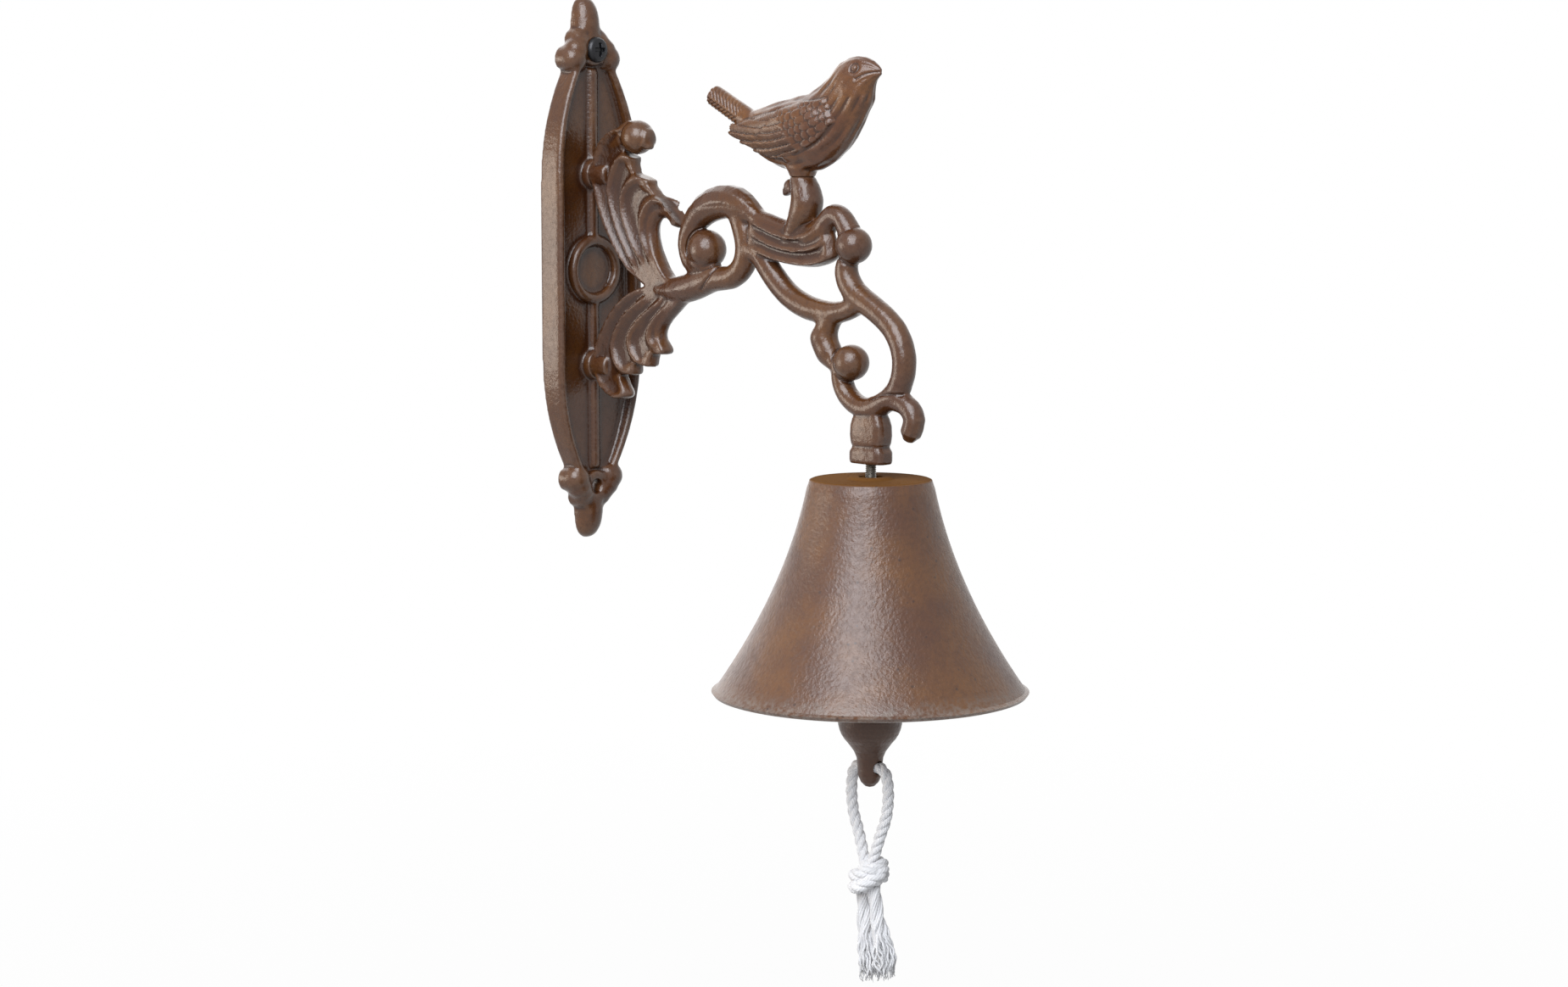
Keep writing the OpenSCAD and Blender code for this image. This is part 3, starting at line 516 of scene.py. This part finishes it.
def lacquered_iron(
    name, settings, bloom=0.6, relief=True, pebble_depth=0.24, tone=1.0, roughness=0.17, specular=0.5,
    ends=None,
):
    """Sand-cast iron under a thin rust-brown lacquer.

    The eye sees a half-glossy brown skin over sand pebbles, ochre bloom in broad patches, a darker colour in
    the hollows that is partly pooled lacquer and partly painted shade, and a grey on the ridges that is
    partly rubbed metal and partly a painted highlight. A bell, whose lower and upper ends are given in
    millimetres, has dry rust on its crown, a rubbed lip and small dark pits.
    """
    material, tree, shader = new_material(name)
    place = millimetres(tree)
    pebble = settings.pebble / MM
    hollow, worn_and_sheen = list(settings.hollow), list(settings.worn_and_sheen)
    noise = {
        kind: grain(tree, place, size, detail, rough)
        for kind, size, detail, rough in (
            ("patch", 24, 4.0, 0.6), ("speck", 2.0, 5.0, 0.7), ("wave", 9, 2.0, 0.5),
            ("sand", pebble, 2.5, 0.5), ("grit", pebble / 3, 2.0, 0.6),
        )
    }
    speck = noise["speck"]

    rusty = share(tree, noise["patch"], 0.4, 0.64, bloom)
    colour = laid_over(tree, toned(settings.iron, tone), rusty, toned(settings.rust, tone))
    colour = laid_over(tree, colour, share(tree, speck, 0.45, 0.72, 0.55), hollow)
    gloss = share(tree, speck, 0.3, 0.7, roughness + 0.15, roughness)
    shader.inputs["Metallic"].default_value = 0.0
    shader.inputs["Specular IOR Level"].default_value = specular

    if relief:
        height = add(tree, "ShaderNodeAttribute", attribute_name="relief").outputs["Fac"]
        # Darker where the relief is low: partly lacquer pooled in the hollows, partly painted shade in the
        # creases
        colour = laid_over(tree, colour, share(tree, height, 0.47, 0.2, 0.8), hollow)
        # Grey on the ridges: partly rubbed metal, partly a painted highlight
        ridge, bare_and_sheen = share(tree, height, 0.62, 1.0, 1.0), share(tree, speck, 0.66, 0.4, 0.14)
        colour = laid_over(tree, colour, reckon(tree, "MULTIPLY", ridge, bare_and_sheen), worn_and_sheen)

    if ends:
        low, high = ends
        level = add(tree, "ShaderNodeSeparateXYZ", {0: place}).outputs[2]
        crown = (high - 1.4, high - 0.9)
        colour = laid_over(tree, colour, share(tree, level, *crown, 0.85), linear("#6b4824"))
        lip, bare_and_sheen = share(tree, level, low + 7, low + 1, 1.0), share(tree, speck, 0.4, 0.6, 0.6)
        colour = laid_over(tree, colour, reckon(tree, "MULTIPLY", lip, bare_and_sheen), worn_and_sheen)
        # Sand that broke out of the mould left pits, up to 1 mm wide and some 5 mm apart
        cells = add(tree, "ShaderNodeTexVoronoi", {"Vector": place, "Scale": 1 / 5})
        colour = laid_over(tree, colour, share(tree, cells.outputs["Distance"], 0.13, 0.08, 0.8), hollow)
        # The rust on the crown is dry
        dry = share(tree, level, *crown, 1.0)
        gloss = add(tree, "ShaderNodeMix", {0: dry, 2: gloss, 3: 0.95}).outputs[0]
        sheen = add(tree, "ShaderNodeMix", {0: dry, 2: specular, 3: 0.05}).outputs[0]
        tree.links.new(sheen, shader.inputs["Specular IOR Level"])

    bump = None
    for kind, part in (("grit", 0.25), ("sand", 1.0), ("wave", 0.9)):
        inputs = {"Height": noise[kind], "Distance": part * pebble_depth * MM, "Strength": 1.0}
        if bump is not None:
            inputs["Normal"] = bump
        bump = add(tree, "ShaderNodeBump", inputs).outputs[0]

    for socket, output in (("Base Color", colour), ("Roughness", gloss), ("Normal", bump)):
        tree.links.new(output, shader.inputs[socket])
    return material


def steel(name, code, roughness, metallic=1.0):
    """Plated or blackened steel: a hard sheen, dulled by faint stains."""
    material, tree, shader = new_material(name)
    stain = grain(tree, millimetres(tree), 3, 5.0, 0.7)
    colour = laid_over(tree, linear(code), stain, toned(linear(code), 0.55))
    gloss = share(tree, stain, 0.3, 0.7, roughness + 0.1, roughness - 0.08)
    tree.links.new(colour, shader.inputs["Base Color"])
    tree.links.new(gloss, shader.inputs["Roughness"])
    shader.inputs["Metallic"].default_value = metallic
    return material


def twisted_cotton(settings):
    """White cotton: dull, soft-edged yarns laid round each strand, with a faint fuzz, painted shade between
    the yarns and slightly darker tips.
    """
    material, tree, shader = new_material("twisted_cotton")
    lay = add(tree, "ShaderNodeUVMap", uv_map="lay").outputs[0]
    along, around, _ = add(tree, "ShaderNodeSeparateXYZ", {0: lay}).outputs
    turns = reckon(tree, "MULTIPLY", along, YARNS_ROUND / YARN_LAY)
    phase = reckon(tree, "MULTIPLY_ADD", around, YARNS_ROUND, turns)
    yarn = reckon(tree, "SINE", reckon(tree, "MULTIPLY", phase, 2 * math.pi))
    fuzz = grain(tree, millimetres(tree), 0.35, 4.0, 0.7)
    height = reckon(tree, "MULTIPLY_ADD", yarn, 0.35, fuzz)
    bump = add(tree, "ShaderNodeBump", {"Height": height, "Distance": 0.16 * MM, "Strength": 1.0})

    # The tips are a little darker within 14 mm of the rope's lower end
    level = add(tree, "ShaderNodeSeparateXYZ", {0: millimetres(tree)}).outputs[2]
    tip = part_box("rope_tail_left")[0].z / MM
    tip_darkening = share(tree, level, tip + 14, tip, 0.1)
    # Painted shade: the colour goes towards a grey where the yarns lie low, between them, and a little at the
    # tips
    shade = share(tree, height, 0.0, 0.9, 0.0, 0.3)
    dull = reckon(tree, "ADD", shade, tip_darkening, use_clamp=True)
    colour = laid_over(tree, list(settings.cotton), dull, linear("#d8d5d3"))
    tree.links.new(colour, shader.inputs["Base Color"])
    tree.links.new(bump.outputs[0], shader.inputs["Normal"])
    shader.inputs["Roughness"].default_value = 0.92
    shader.inputs["Specular IOR Level"].default_value = 0.2
    shader.inputs["Sheen Weight"].default_value = 0.3
    return material


# Operators


def direction(turn, rise):
    """Way from the aim at a turn and a rise in degrees; from turn 0 one looks along +Y."""
    a, e = math.radians(turn), math.radians(rise)
    return Vector((math.sin(a) * math.cos(e), -math.cos(a) * math.cos(e), math.sin(e)))


def in_sight(tree):
    """1 for what the camera, the gloss and clear stuff see, 0 for light on dull surfaces."""
    ray = add(tree, "ShaderNodeLightPath").outputs
    seen = reckon(tree, "MAXIMUM", ray["Is Camera Ray"], ray["Is Glossy Ray"])
    return reckon(tree, "MAXIMUM", seen, ray["Is Transmission Ray"])


class WALLBELL_OT_stage(bpy.types.Operator):
    """Sets the camera, the soft lamps and the white floor"""

    bl_idname = "wall_bell.stage"
    bl_label = "Stage"

    def execute(self, context):
        scene = context.scene
        scene.view_settings.view_transform = "Standard"
        camera = bpy.data.cameras.new("camera")
        camera.lens = LENS
        scene.camera = self.aimed(scene, camera, CAMERA_TURN, CAMERA_RISE, CAMERA_FAR)
        for name, turn, rise, far, wide, high, power, tint in LAMPS:
            lamp = bpy.data.lights.new(name, "AREA")
            lamp.shape = "RECTANGLE"
            lamp.size, lamp.size_y, lamp.energy = wide, high, power
            lamp.color = linear(tint)[:3]
            self.aimed(scene, lamp, turn, rise, far)
        scene.world = self.surround()
        self.floor(scene)
        return {"FINISHED"}

    def aimed(self, scene, data, turn, rise, far):
        """Camera or lamp that looks at the aim from a turn, a rise and a distance."""
        way = direction(turn, rise)
        holder = bpy.data.objects.new(data.name, data)
        holder.location = AIM + far * way
        holder.rotation_euler = (-way).to_track_quat("-Z", "Y").to_euler()
        scene.collection.objects.link(holder)
        return holder

    def surround(self):
        """World that is white to the eye and the gloss, and a weak fill light."""
        world = bpy.data.worlds.new("studio")
        world.use_nodes = True
        tree = world.node_tree
        tree.nodes.clear()
        level = share(tree, in_sight(tree), 0.0, 1.0, SURROUND_SEEN, SURROUND_LIGHT)
        sky = add(tree, "ShaderNodeBackground", {"Color": (1, 1, 1, 1), "Strength": level})
        add(tree, "ShaderNodeOutputWorld", {0: sky.outputs[0]})
        return world

    def floor(self, scene):
        """White floor that keeps the object's soft shadow."""
        mesh = bpy.data.meshes.new("floor")
        corners = [(-1, -1), (1, -1), (1, 1), (-1, 1)]
        mesh.from_pydata([(x * FLOOR_HALF, y * FLOOR_HALF, FLOOR_Z) for x, y in corners], [], [(0, 1, 2, 3)])
        piece = bpy.data.objects.new("floor", mesh)
        scene.collection.objects.link(piece)
        material, tree, shader = new_material("white_floor")
        shader.inputs["Base Color"].default_value = linear("#a0a0a0")
        shader.inputs["Roughness"].default_value = 0.9
        white = add(tree, "ShaderNodeEmission", {"Color": (1, 1, 1, 1), "Strength": 1.0})
        # The shadow's share fades out round the object, so that the floor meets the world without an edge
        place = add(tree, "ShaderNodeTexCoord").outputs["Object"]
        away = add(tree, "ShaderNodeVectorMath", {0: place, 1: tuple(AIM)}, operation="DISTANCE")
        fade = share(tree, away.outputs["Value"], *FLOOR_FADE, 1.0, FLOOR_WHITE)
        amount = reckon(tree, "MULTIPLY", in_sight(tree), fade)
        mixed = add(tree, "ShaderNodeMixShader", {0: amount, 1: shader.outputs[0], 2: white.outputs[0]})
        output = next(n for n in tree.nodes if n.type == "OUTPUT_MATERIAL")
        tree.links.new(mixed.outputs[0], output.inputs[0])
        mesh.materials.append(material)


def on_rope(place):
    """Point of the frame from a place [along the arm, height] of the rope."""
    return np.array([0, ROPE_HOLE[1] - place[0], ROPE_HOLE[2] + place[1]])


class WALLBELL_OT_rope(bpy.types.Operator):
    """Lays the pull rope through the clapper's tail, with its knot and frayed ends"""

    bl_idname = "wall_bell.rope"
    bl_label = "Pull rope"

    def execute(self, context):
        settings = context.scene.wall_bell
        cotton = twisted_cotton(settings)
        rope_r, lay = settings.rope_d / 2 / MM, settings.rope_lay / MM

        knot = self.knot(cotton, rope_r, lay)
        tails = [
            self.tail("rope_tail_left_yarns", LEFT_TAIL, cotton, settings.yarns, 3, "rope_tail_left"),
            self.tail("rope_tail_right_yarns", RIGHT_TAIL, cotton, settings.yarns, 8, "rope_tail_right"),
        ]
        for name, route, side, pieces in (
            ("rope_left_leg", LEFT_LEG, -1, [knot, *tails]), ("rope_right_leg", RIGHT_LEG, 1, [knot]),
        ):
            path = catmull([on_rope(p) for p in route], 0.4)
            leg = Shell().rope(path, rope_r, lay, 0.6 * side).build(
                name, cotton, "rope", "cotton", ("rope_loop",)
            )
        return {"FINISHED"}

    def knot(self, cotton, rope_r, lay):
        """Overhand knot: two turns of the rope round its own legs, and a band across the front."""
        heart = on_rope(KNOT)
        shell = Shell()
        count, step = 28, 0.45
        turns = []
        for k in range(count):
            angle = math.radians(-60 + 26 * k)
            height = 4.0 - 8.2 * k / (count - 1) + 1.2 * math.cos(angle - 0.6)
            wide = 4.75 + 0.35 * math.sin(2.2 * angle)
            around = math.cos(angle) * KNOT_RIGHT + math.sin(angle) * KNOT_NEAR
            turns.append(heart + wide * around + np.array([0, 0, height]))
        shell.rope(catmull(turns, step), 1.15 * rope_r, lay)
        band = [heart + x * KNOT_RIGHT + y * KNOT_NEAR + np.array([0, 0, z]) for x, y, z in KNOT_BAND]
        shell.rope(catmull(band, step), 1.1 * rope_r, lay, 1.0)
        # An egg-shaped core stops one from seeing through the knot
        core = [heart + np.array([0, 0, z]) for z in np.linspace(-6, 6, 13)]
        radii = [0.5 + 3.9 * math.sqrt(max(0, 1 - (k / 6.5 - 12 / 13) ** 2)) for k in range(13)]
        shell.tube(core, radii, 16)
        return shell.build("rope_knot_turns", cotton, "rope", "cotton", ("rope_knot",))

    def tail(self, name, route, cotton, yarns, seed, node):
        """Frayed end: three strands that leave the knot still twisted, and part into wavy yarns."""
        dice = np.random.default_rng(seed)
        line = catmull([on_rope(p) for p in route], 0.8)
        u, v = frames(line)
        run = lengths(line)
        # How far out a strand lies, and a yarn within it, where the tail leaves the knot
        strand_out = yarn_out = 1.15
        shell = Shell()
        for k in range(yarns):
            keep = run <= run[-1] * (0.72 + 0.28 * math.sqrt(dice.random()))
            t = run[keep] / run[-1]
            loose = ease(t, 0.2, 0.85)
            strand = 2 * math.pi * (k % STRANDS) / STRANDS + 2.4 * math.pi * np.minimum(t, 0.5)
            within = strand + 2.4 * k
            reach = yarn_out * math.sqrt((k + 0.5) / yarns)
            offset = []
            for wave in (np.cos, np.sin):
                place = strand_out * (1 + 0.6 * loose) * wave(strand)
                place = place + reach * (1 + 0.9 * loose) * wave(within)
                for length, swing in ((4 + 4 * dice.random(), 0.35), (10 + 8 * dice.random(), 0.8)):
                    bend = np.sin(run[keep] / length * 2 * math.pi + 7 * dice.random())
                    place = place + swing * loose * bend
                offset.append(place)
            path = line[keep] + offset[0][:, None] * u[keep] + offset[1][:, None] * v[keep]
            thick = (0.52 - 0.12 * loose) * np.clip((1.02 - t / t[-1]) * 8, 0.3, 1)
            shell.tube(path, thick, 6)
        return shell.build(name, cotton, "rope", "cotton", (node,))


class WALLBELL_OT_bracket(bpy.types.Operator):
    """Recasts the wall plate and the scrolled arm"""

    bl_idname = "wall_bell.bracket"
    bl_label = "Plate and arm"

    def execute(self, context):
        settings = context.scene.wall_bell
        lacquer = lacquered_iron("lacquered_cast_iron", settings, pebble_depth=0.14, tone=0.72)
        plate, arm = self.plate(settings), self.arm(settings)
        for piece, node, broad in ((plate, "wall_plate", 0.1), (arm, "arm", 0.3)):
            note_relief(piece, 3.0, broad)
            dress(piece, lacquer, "bracket", (node,))
        return {"FINISHED"}

    def plate(self, settings):
        """Plate with its knobs made round and its edges soft, and its back flat on the wall."""
        piece = recast("wall_plate", "wall_plate_casting", settings.casting_step, 6, PLATE_KNOBS)
        points, _ = points_of(piece)
        points = spread(piece, points, 10)
        points[:, 1] = np.minimum(points[:, 1], 0)
        put_points(piece, points)
        return piece

    def arm(self, settings):
        """Arm with round bars, deep flutes, round balls in their grooves, and creases."""
        piece = recast("arm", "arm_casting", settings.casting_step, 4, ARM_BALLS + ARM_LUMPS)
        points, normals = points_of(piece)
        out, up = -points[:, 1], points[:, 2]
        sash = ease(out, *SASH_START) * (1 - ease(out, *SASH_END))
        sash = sash * ease(up, *SASH_FOOT) * (1 - ease(up, *SASH_TOP))
        leaves = 1 - ease(out, *LEAVES_END)
        fluted = leaves * ease(out, *FEET_END)
        spur = ease(up, *SPUR_FOOT) * (1 - ease(out, *SPUR_END))

        # The bars become round, and a little fuller to make up for it
        plain = (1 - leaves) * (1 - sash) * ease(up, *COLLAR_TOP) * (1 - ease(up, *STALK_TOP))
        plain *= 1 - 0.9 * spur
        points += plain[:, None] * (spread(piece, points, 45) + 0.3 * normals - points)

        # The flutes are cut deeper, away from the feet, and softened
        points += fluted[:, None] * (spread(piece, points, 6) - points)
        proud = dot(points - spread(piece, points, 25), normals)
        cut = np.maximum(fluted, 0.3 * sash) * ease(np.abs(normals[:, 0]), 0.25, 0.6)
        points += (cut * np.clip(1.2 * proud, -0.9, 0.4))[:, None] * normals
        points += np.maximum(fluted, sash)[:, None] * (spread(piece, points, 8) - points)

        for *centre, radius in ARM_BALLS:
            way = points - np.array(centre)
            far = np.linalg.norm(way, axis=1)
            facing = dot(way, normals) / np.maximum(far, 1)
            ball = (1 - ease(far, radius + 0.3, radius + 1)) * ease(facing, 0.4, 0.7)
            points += (ball * (radius - far) / np.maximum(far, 1))[:, None] * way
            groove = np.exp(-(((far - radius - GROOVE_OUT) / GROOVE_WIDTH) ** 2))
            points -= (GROOVE_DEPTH * groove * (1 - ease(facing, 0.5, 0.8)))[:, None] * normals
        for crease in ARM_CREASES:
            far = far_from(np.stack([out, up], 1), crease)
            points -= (CREASE_DEPTH * np.exp(-((far / CREASE_WIDTH) ** 2)))[:, None] * normals
        put_points(piece, points)
        return piece


class WALLBELL_OT_bird(bpy.types.Operator):
    """Recasts the wren and carves its feathers"""

    bl_idname = "wall_bell.bird"
    bl_label = "Wren"

    def execute(self, context):
        settings = context.scene.wall_bell
        piece = recast("bird", "wren_casting", settings.bird_step, 6)
        points, _ = points_of(piece)
        seat = ease(points[:, 2] - PERCH[2], *WREN_SEAT)
        soft = seat * (1 - 0.85 * ease(PERCH[1] - points[:, 1], *WREN_BEAK))
        put_points(piece, points + soft[:, None] * (spread(piece, points, 24) - points))
        points, normals = points_of(piece)
        put_points(piece, points + (seat * self.feathers(points, normals))[:, None] * normals)
        note_relief(piece, 3.2)
        lacquer = lacquered_iron("lacquered_wren_iron", settings, bloom=1.0, pebble_depth=0.12, tone=0.95)
        dress(piece, lacquer, "bracket", ("bird",))
        return {"FINISHED"}

    def feathers(self, points, normals):
        """Height of the carving at each point, in millimetres."""
        place = np.stack([PERCH[1] - points[:, 1], points[:, 2] - PERCH[2]], 1)
        side = np.abs(points[:, 0])
        flank = ease(np.abs(normals[:, 0]), 0.1, 0.45)

        # Streaks that run from the throat and the back along the body
        run, across, half = along_line(place, WREN_SPINE)
        angle = np.arctan2(across * half, 1.3 * side)
        streak = np.sin(15 * angle + 0.8 * np.sin(0.16 * run))
        streak = streak * (0.65 + 0.35 * np.sin(0.4 * run + 5 * angle))
        height = 0.3 * streak * ease(run, 8, 16) * (1 - ease(run, 74, 80))

        # Wing: scaled coverts in front, two tiers of long feathers with slanted barbs behind them
        run, across, half = along_line(place, WREN_WING)
        wing = (1 - ease(np.abs(across), 0.86, 1.02)) * flank * ease(run, -3, 0) * (1 - ease(run, 49, 51))
        rise = across * half
        row = np.floor(rise / COVERT_ROW)
        middle = rise / COVERT_ROW - row - 0.5
        along = run / COVERT_L + 0.5 * (row % 2) + 1.1 * middle**2 + 0.22 * np.sin(1.3 * row + 0.5 * run)
        covert = (0.25 + 0.75 * (along % 1)) * np.sqrt(1 - 3 * middle**2)
        tier = np.where(run > 31 + 1.1 * rise, TIER_STEP, 0.0)
        vane = (rise / FEATHER_W + 2 * tier) % 1
        barb = np.sin(2 * math.pi * (run + 2.2 * rise) / BARB_PITCH)
        feather = 0.95 * (1 - vane) - tier + 0.16 * barb
        front = 1 - ease(run + 0.4 * rise, 18, 20)
        height = (1 - wing) * height + wing * (0.35 + front * 0.9 * covert + (1 - front) * feather)

        # Tail: a quill with slanted barbs on both sides
        run, across, _ = along_line(place, WREN_TAIL)
        aside = np.abs(across)
        tail = ease(run, 4, 7) * (1 - ease(aside, 1.1, 1.4)) * (place[:, 0] < WREN_TAIL[0][0])
        hatch = 0.15 * np.sin(2 * math.pi * (run - 5 * aside) / TAIL_BARB_PITCH) * (1 - ease(aside, 0.7, 1))
        height = (1 - tail) * height + tail * (hatch + 0.35 * np.exp(-((across / 0.12) ** 2)))

        # Head: an eye in its ring, and the line of the beak
        head = ease(place[:, 0], 19, 22) * ease(place[:, 1], 27, 30)
        height = (1 - 0.7 * head) * height
        from_eye = np.linalg.norm(place - np.array(WREN_EYE), axis=1)
        height += flank * 0.7 * np.sqrt(np.maximum(0, 1 - (from_eye / 1.15) ** 2))
        for ring, rise in ((1.6, -0.25), (2.7, 0.08)):
            band = np.exp(-(((from_eye - ring) / 0.5) ** 2))
            height += flank * rise * band * (1 - ease(place[:, 0], 29, 32))
        return height - 0.4 * flank * np.exp(-((far_from(place, WREN_GAPE) / 0.4) ** 2))


class WALLBELL_OT_bell(bpy.types.Operator):
    """Finishes the bell and its clapper"""

    bl_idname = "wall_bell.bell"
    bl_label = "Bell and clapper"

    def execute(self, context):
        settings = context.scene.wall_bell
        heights = [corner[2] / MM for corner in NODES["bell"].bound_box]
        bell_lacquer = lacquered_iron(
            "lacquered_bell_iron", settings, bloom=0.8, relief=False, pebble_depth=0.26, tone=0.8,
            roughness=0.31, specular=0.64, ends=(min(heights), max(heights)),
        )
        finish_node("bell", bell_lacquer)
        clapper_lacquer = lacquered_iron(
            "lacquered_clapper_iron", settings, bloom=0.3, relief=False, tone=0.7, roughness=0.3,
        )
        finish_node("clapper", clapper_lacquer)
        return {"FINISHED"}


class WALLBELL_OT_fixings(bpy.types.Operator):
    """Makes the screws and the threaded eye bolt, and finishes the nuts, washer, stud and link"""

    bl_idname = "wall_bell.fixings"
    bl_label = "Fixings"

    def execute(self, context):
        settings = context.scene.wall_bell
        zinc = steel("dulled_zinc_steel", "#8b867e", 0.38)
        black = steel("black_oxide_steel", "#2b2b2e", 0.34, metallic=0.6)
        for node in ("bell_washer", "bell_nut", "lock_nut", "bird_stud", "clapper_link"):
            finish_node(node, zinc)
            edges = NODES[node].modifiers.new("edges", "BEVEL")
            edges.width, edges.segments, edges.angle_limit = 0.25 * MM, 2, math.radians(40)

        # Pan head that faces the room; heights are distances from the wall
        low, high = box_mm("wall_screw")
        middle, wide, face = (low[2] + high[2]) / 2, (high[0] - low[0]) / 2, -low[1]
        under = face - 2.9
        head = [
            (wide - 0.2, under), (wide, face - 2.6), (wide, face - 2), (0.92 * wide, face - 1.1),
            (0.8 * wide, face - 0.6),
        ]
        self.screw(
            "wall_screw", black, "black_steel", lambda a, b, h: (a, -h, middle + b),
            (2.4, 2.1, -high[1], under), head, 0.6,
        )
        # Countersunk heads that face the wall; heights are distances from their faces
        for node in ("upper_arm_screw", "lower_arm_screw"):
            low, high = box_mm(node)
            middle, wide, back = (low[2] + high[2]) / 2, (high[0] - low[0]) / 2, high[1]
            radius = 2.5
            self.screw(
                node, zinc, "zinc_steel", lambda a, b, h: (-a, back + h, middle + b),
                (radius, 0.8, low[1] - back, radius - wide),
                [(radius, radius - wide), (wide - 0.1, -0.3), (wide - 0.1, 0)], 0,
            )
        self.eye_bolt(zinc, settings.thread_pitch / MM)
        return {"FINISHED"}

    def screw(self, node, material, slot, place, shank, head, crown):
        """Screw from its point to its cross recess.

        shank is the thread's radius, its pitch and the heights where it starts and ends; head is a list of
        radius and height up to the edge of the face, which the crown rises over. place puts a point of the
        screw, with its axis upright, in the frame.
        """
        point_l, thread_part = 5, 0.25
        recess_half, recess_w, recess_depth = 2.7, 0.8, 1.5
        radius, pitch, tip, top = shank
        angles = np.linspace(0, 2 * math.pi, 96, endpoint=False)
        rows = []
        for h in np.arange(tip, top, pitch / THREAD_ROWS):
            taper = min(1, 0.1 + (h - tip) / point_l)
            cut = 1 - thread_part * thread_depth(h, pitch, angles)
            rows.append((radius * taper * cut, h + 0 * angles))
        rows += [(r + 0 * angles, h + 0 * angles) for r, h in head]
        edge, height = head[-1]

        def slit(u, v):
            return ease(recess_half - np.abs(u), 0, 0.6) * ease(recess_w - np.abs(v), 0, 0.3)

        for r in np.linspace(edge, 0.02, 44)[1:]:
            u, v = r * np.cos(angles), r * np.sin(angles)
            recess = recess_depth * np.maximum(slit(u, v), slit(v, u))
            rows.append((r + 0 * angles, height + crown * (1 - (r / edge) ** 2) - recess))
        grid = [
            [place(r * math.cos(a), r * math.sin(a), h) for r, a, h in zip(radii, angles, heights)]
            for radii, heights in rows
        ]
        Shell().rings(grid).build(node + "_recessed", material, "bracket", slot, (node,))

    def eye_bolt(self, zinc, pitch):
        """Threaded rod with its end bent to an eye."""
        wire, rod_r, thread_cut, plain_l = 3.2, 2, 0.42, 1.6
        low, high = box_mm("eye_bolt")
        ring = (high[0] - low[0] - wire) / 2
        x, y = (low[0] + high[0]) / 2, (low[1] + high[1]) / 2
        centre = low[2] + wire / 2 + ring
        foot = centre + ring
        angles = np.linspace(0, 2 * math.pi, 28, endpoint=False)
        grid = []
        for h in np.arange(foot, high[2], pitch / THREAD_ROWS):
            radii = rod_r - thread_cut * (thread_depth(h, pitch, angles) * (h > foot + plain_l))
            grid.append([(x + r * math.cos(a), y + r * math.sin(a), h) for r, a in zip(radii, angles)])
        shell = Shell().rings(grid)
        turns = np.linspace(0, 2 * math.pi, 65)[:-1]
        loop = [(x + ring * math.sin(a), y, centre + ring * math.cos(a)) for a in turns]
        shell.tube(loop, wire / 2, 20, closed=True)
        shell.build("eye_bolt_threaded", zinc, "bracket", "zinc_steel", ("eye_bolt",))


STEPS = ("stage", "rope", "bracket", "bird", "bell", "fixings")


class WALLBELL_PT_panel(bpy.types.Panel):
    """Lists the wall bell's steps and settings"""

    bl_idname = "WALLBELL_PT_panel"
    bl_label = "Wall Bell"
    bl_space_type = "VIEW_3D"
    bl_region_type = "UI"
    bl_category = "Wall Bell"

    def draw(self, context):
        for step in STEPS:
            self.layout.operator(f"wall_bell.{step}")
        settings = context.scene.wall_bell
        for name in settings.bl_rna.properties.keys():
            if name not in ("rna_type", "name"):
                self.layout.prop(settings, name)


CLASSES = (
    WallBellSettings,
    WALLBELL_OT_stage,
    WALLBELL_OT_rope,
    WALLBELL_OT_bracket,
    WALLBELL_OT_bird,
    WALLBELL_OT_bell,
    WALLBELL_OT_fixings,
    WALLBELL_PT_panel,
)


def register():
    for cls in CLASSES:
        bpy.utils.register_class(cls)
    bpy.types.Scene.wall_bell = PointerProperty(type=WallBellSettings)


def unregister():
    del bpy.types.Scene.wall_bell
    for cls in reversed(CLASSES):
        bpy.utils.unregister_class(cls)


def main():
    register()
    for step in STEPS:
        getattr(bpy.ops.wall_bell, step)()


if __name__ == "__main__":
    main()
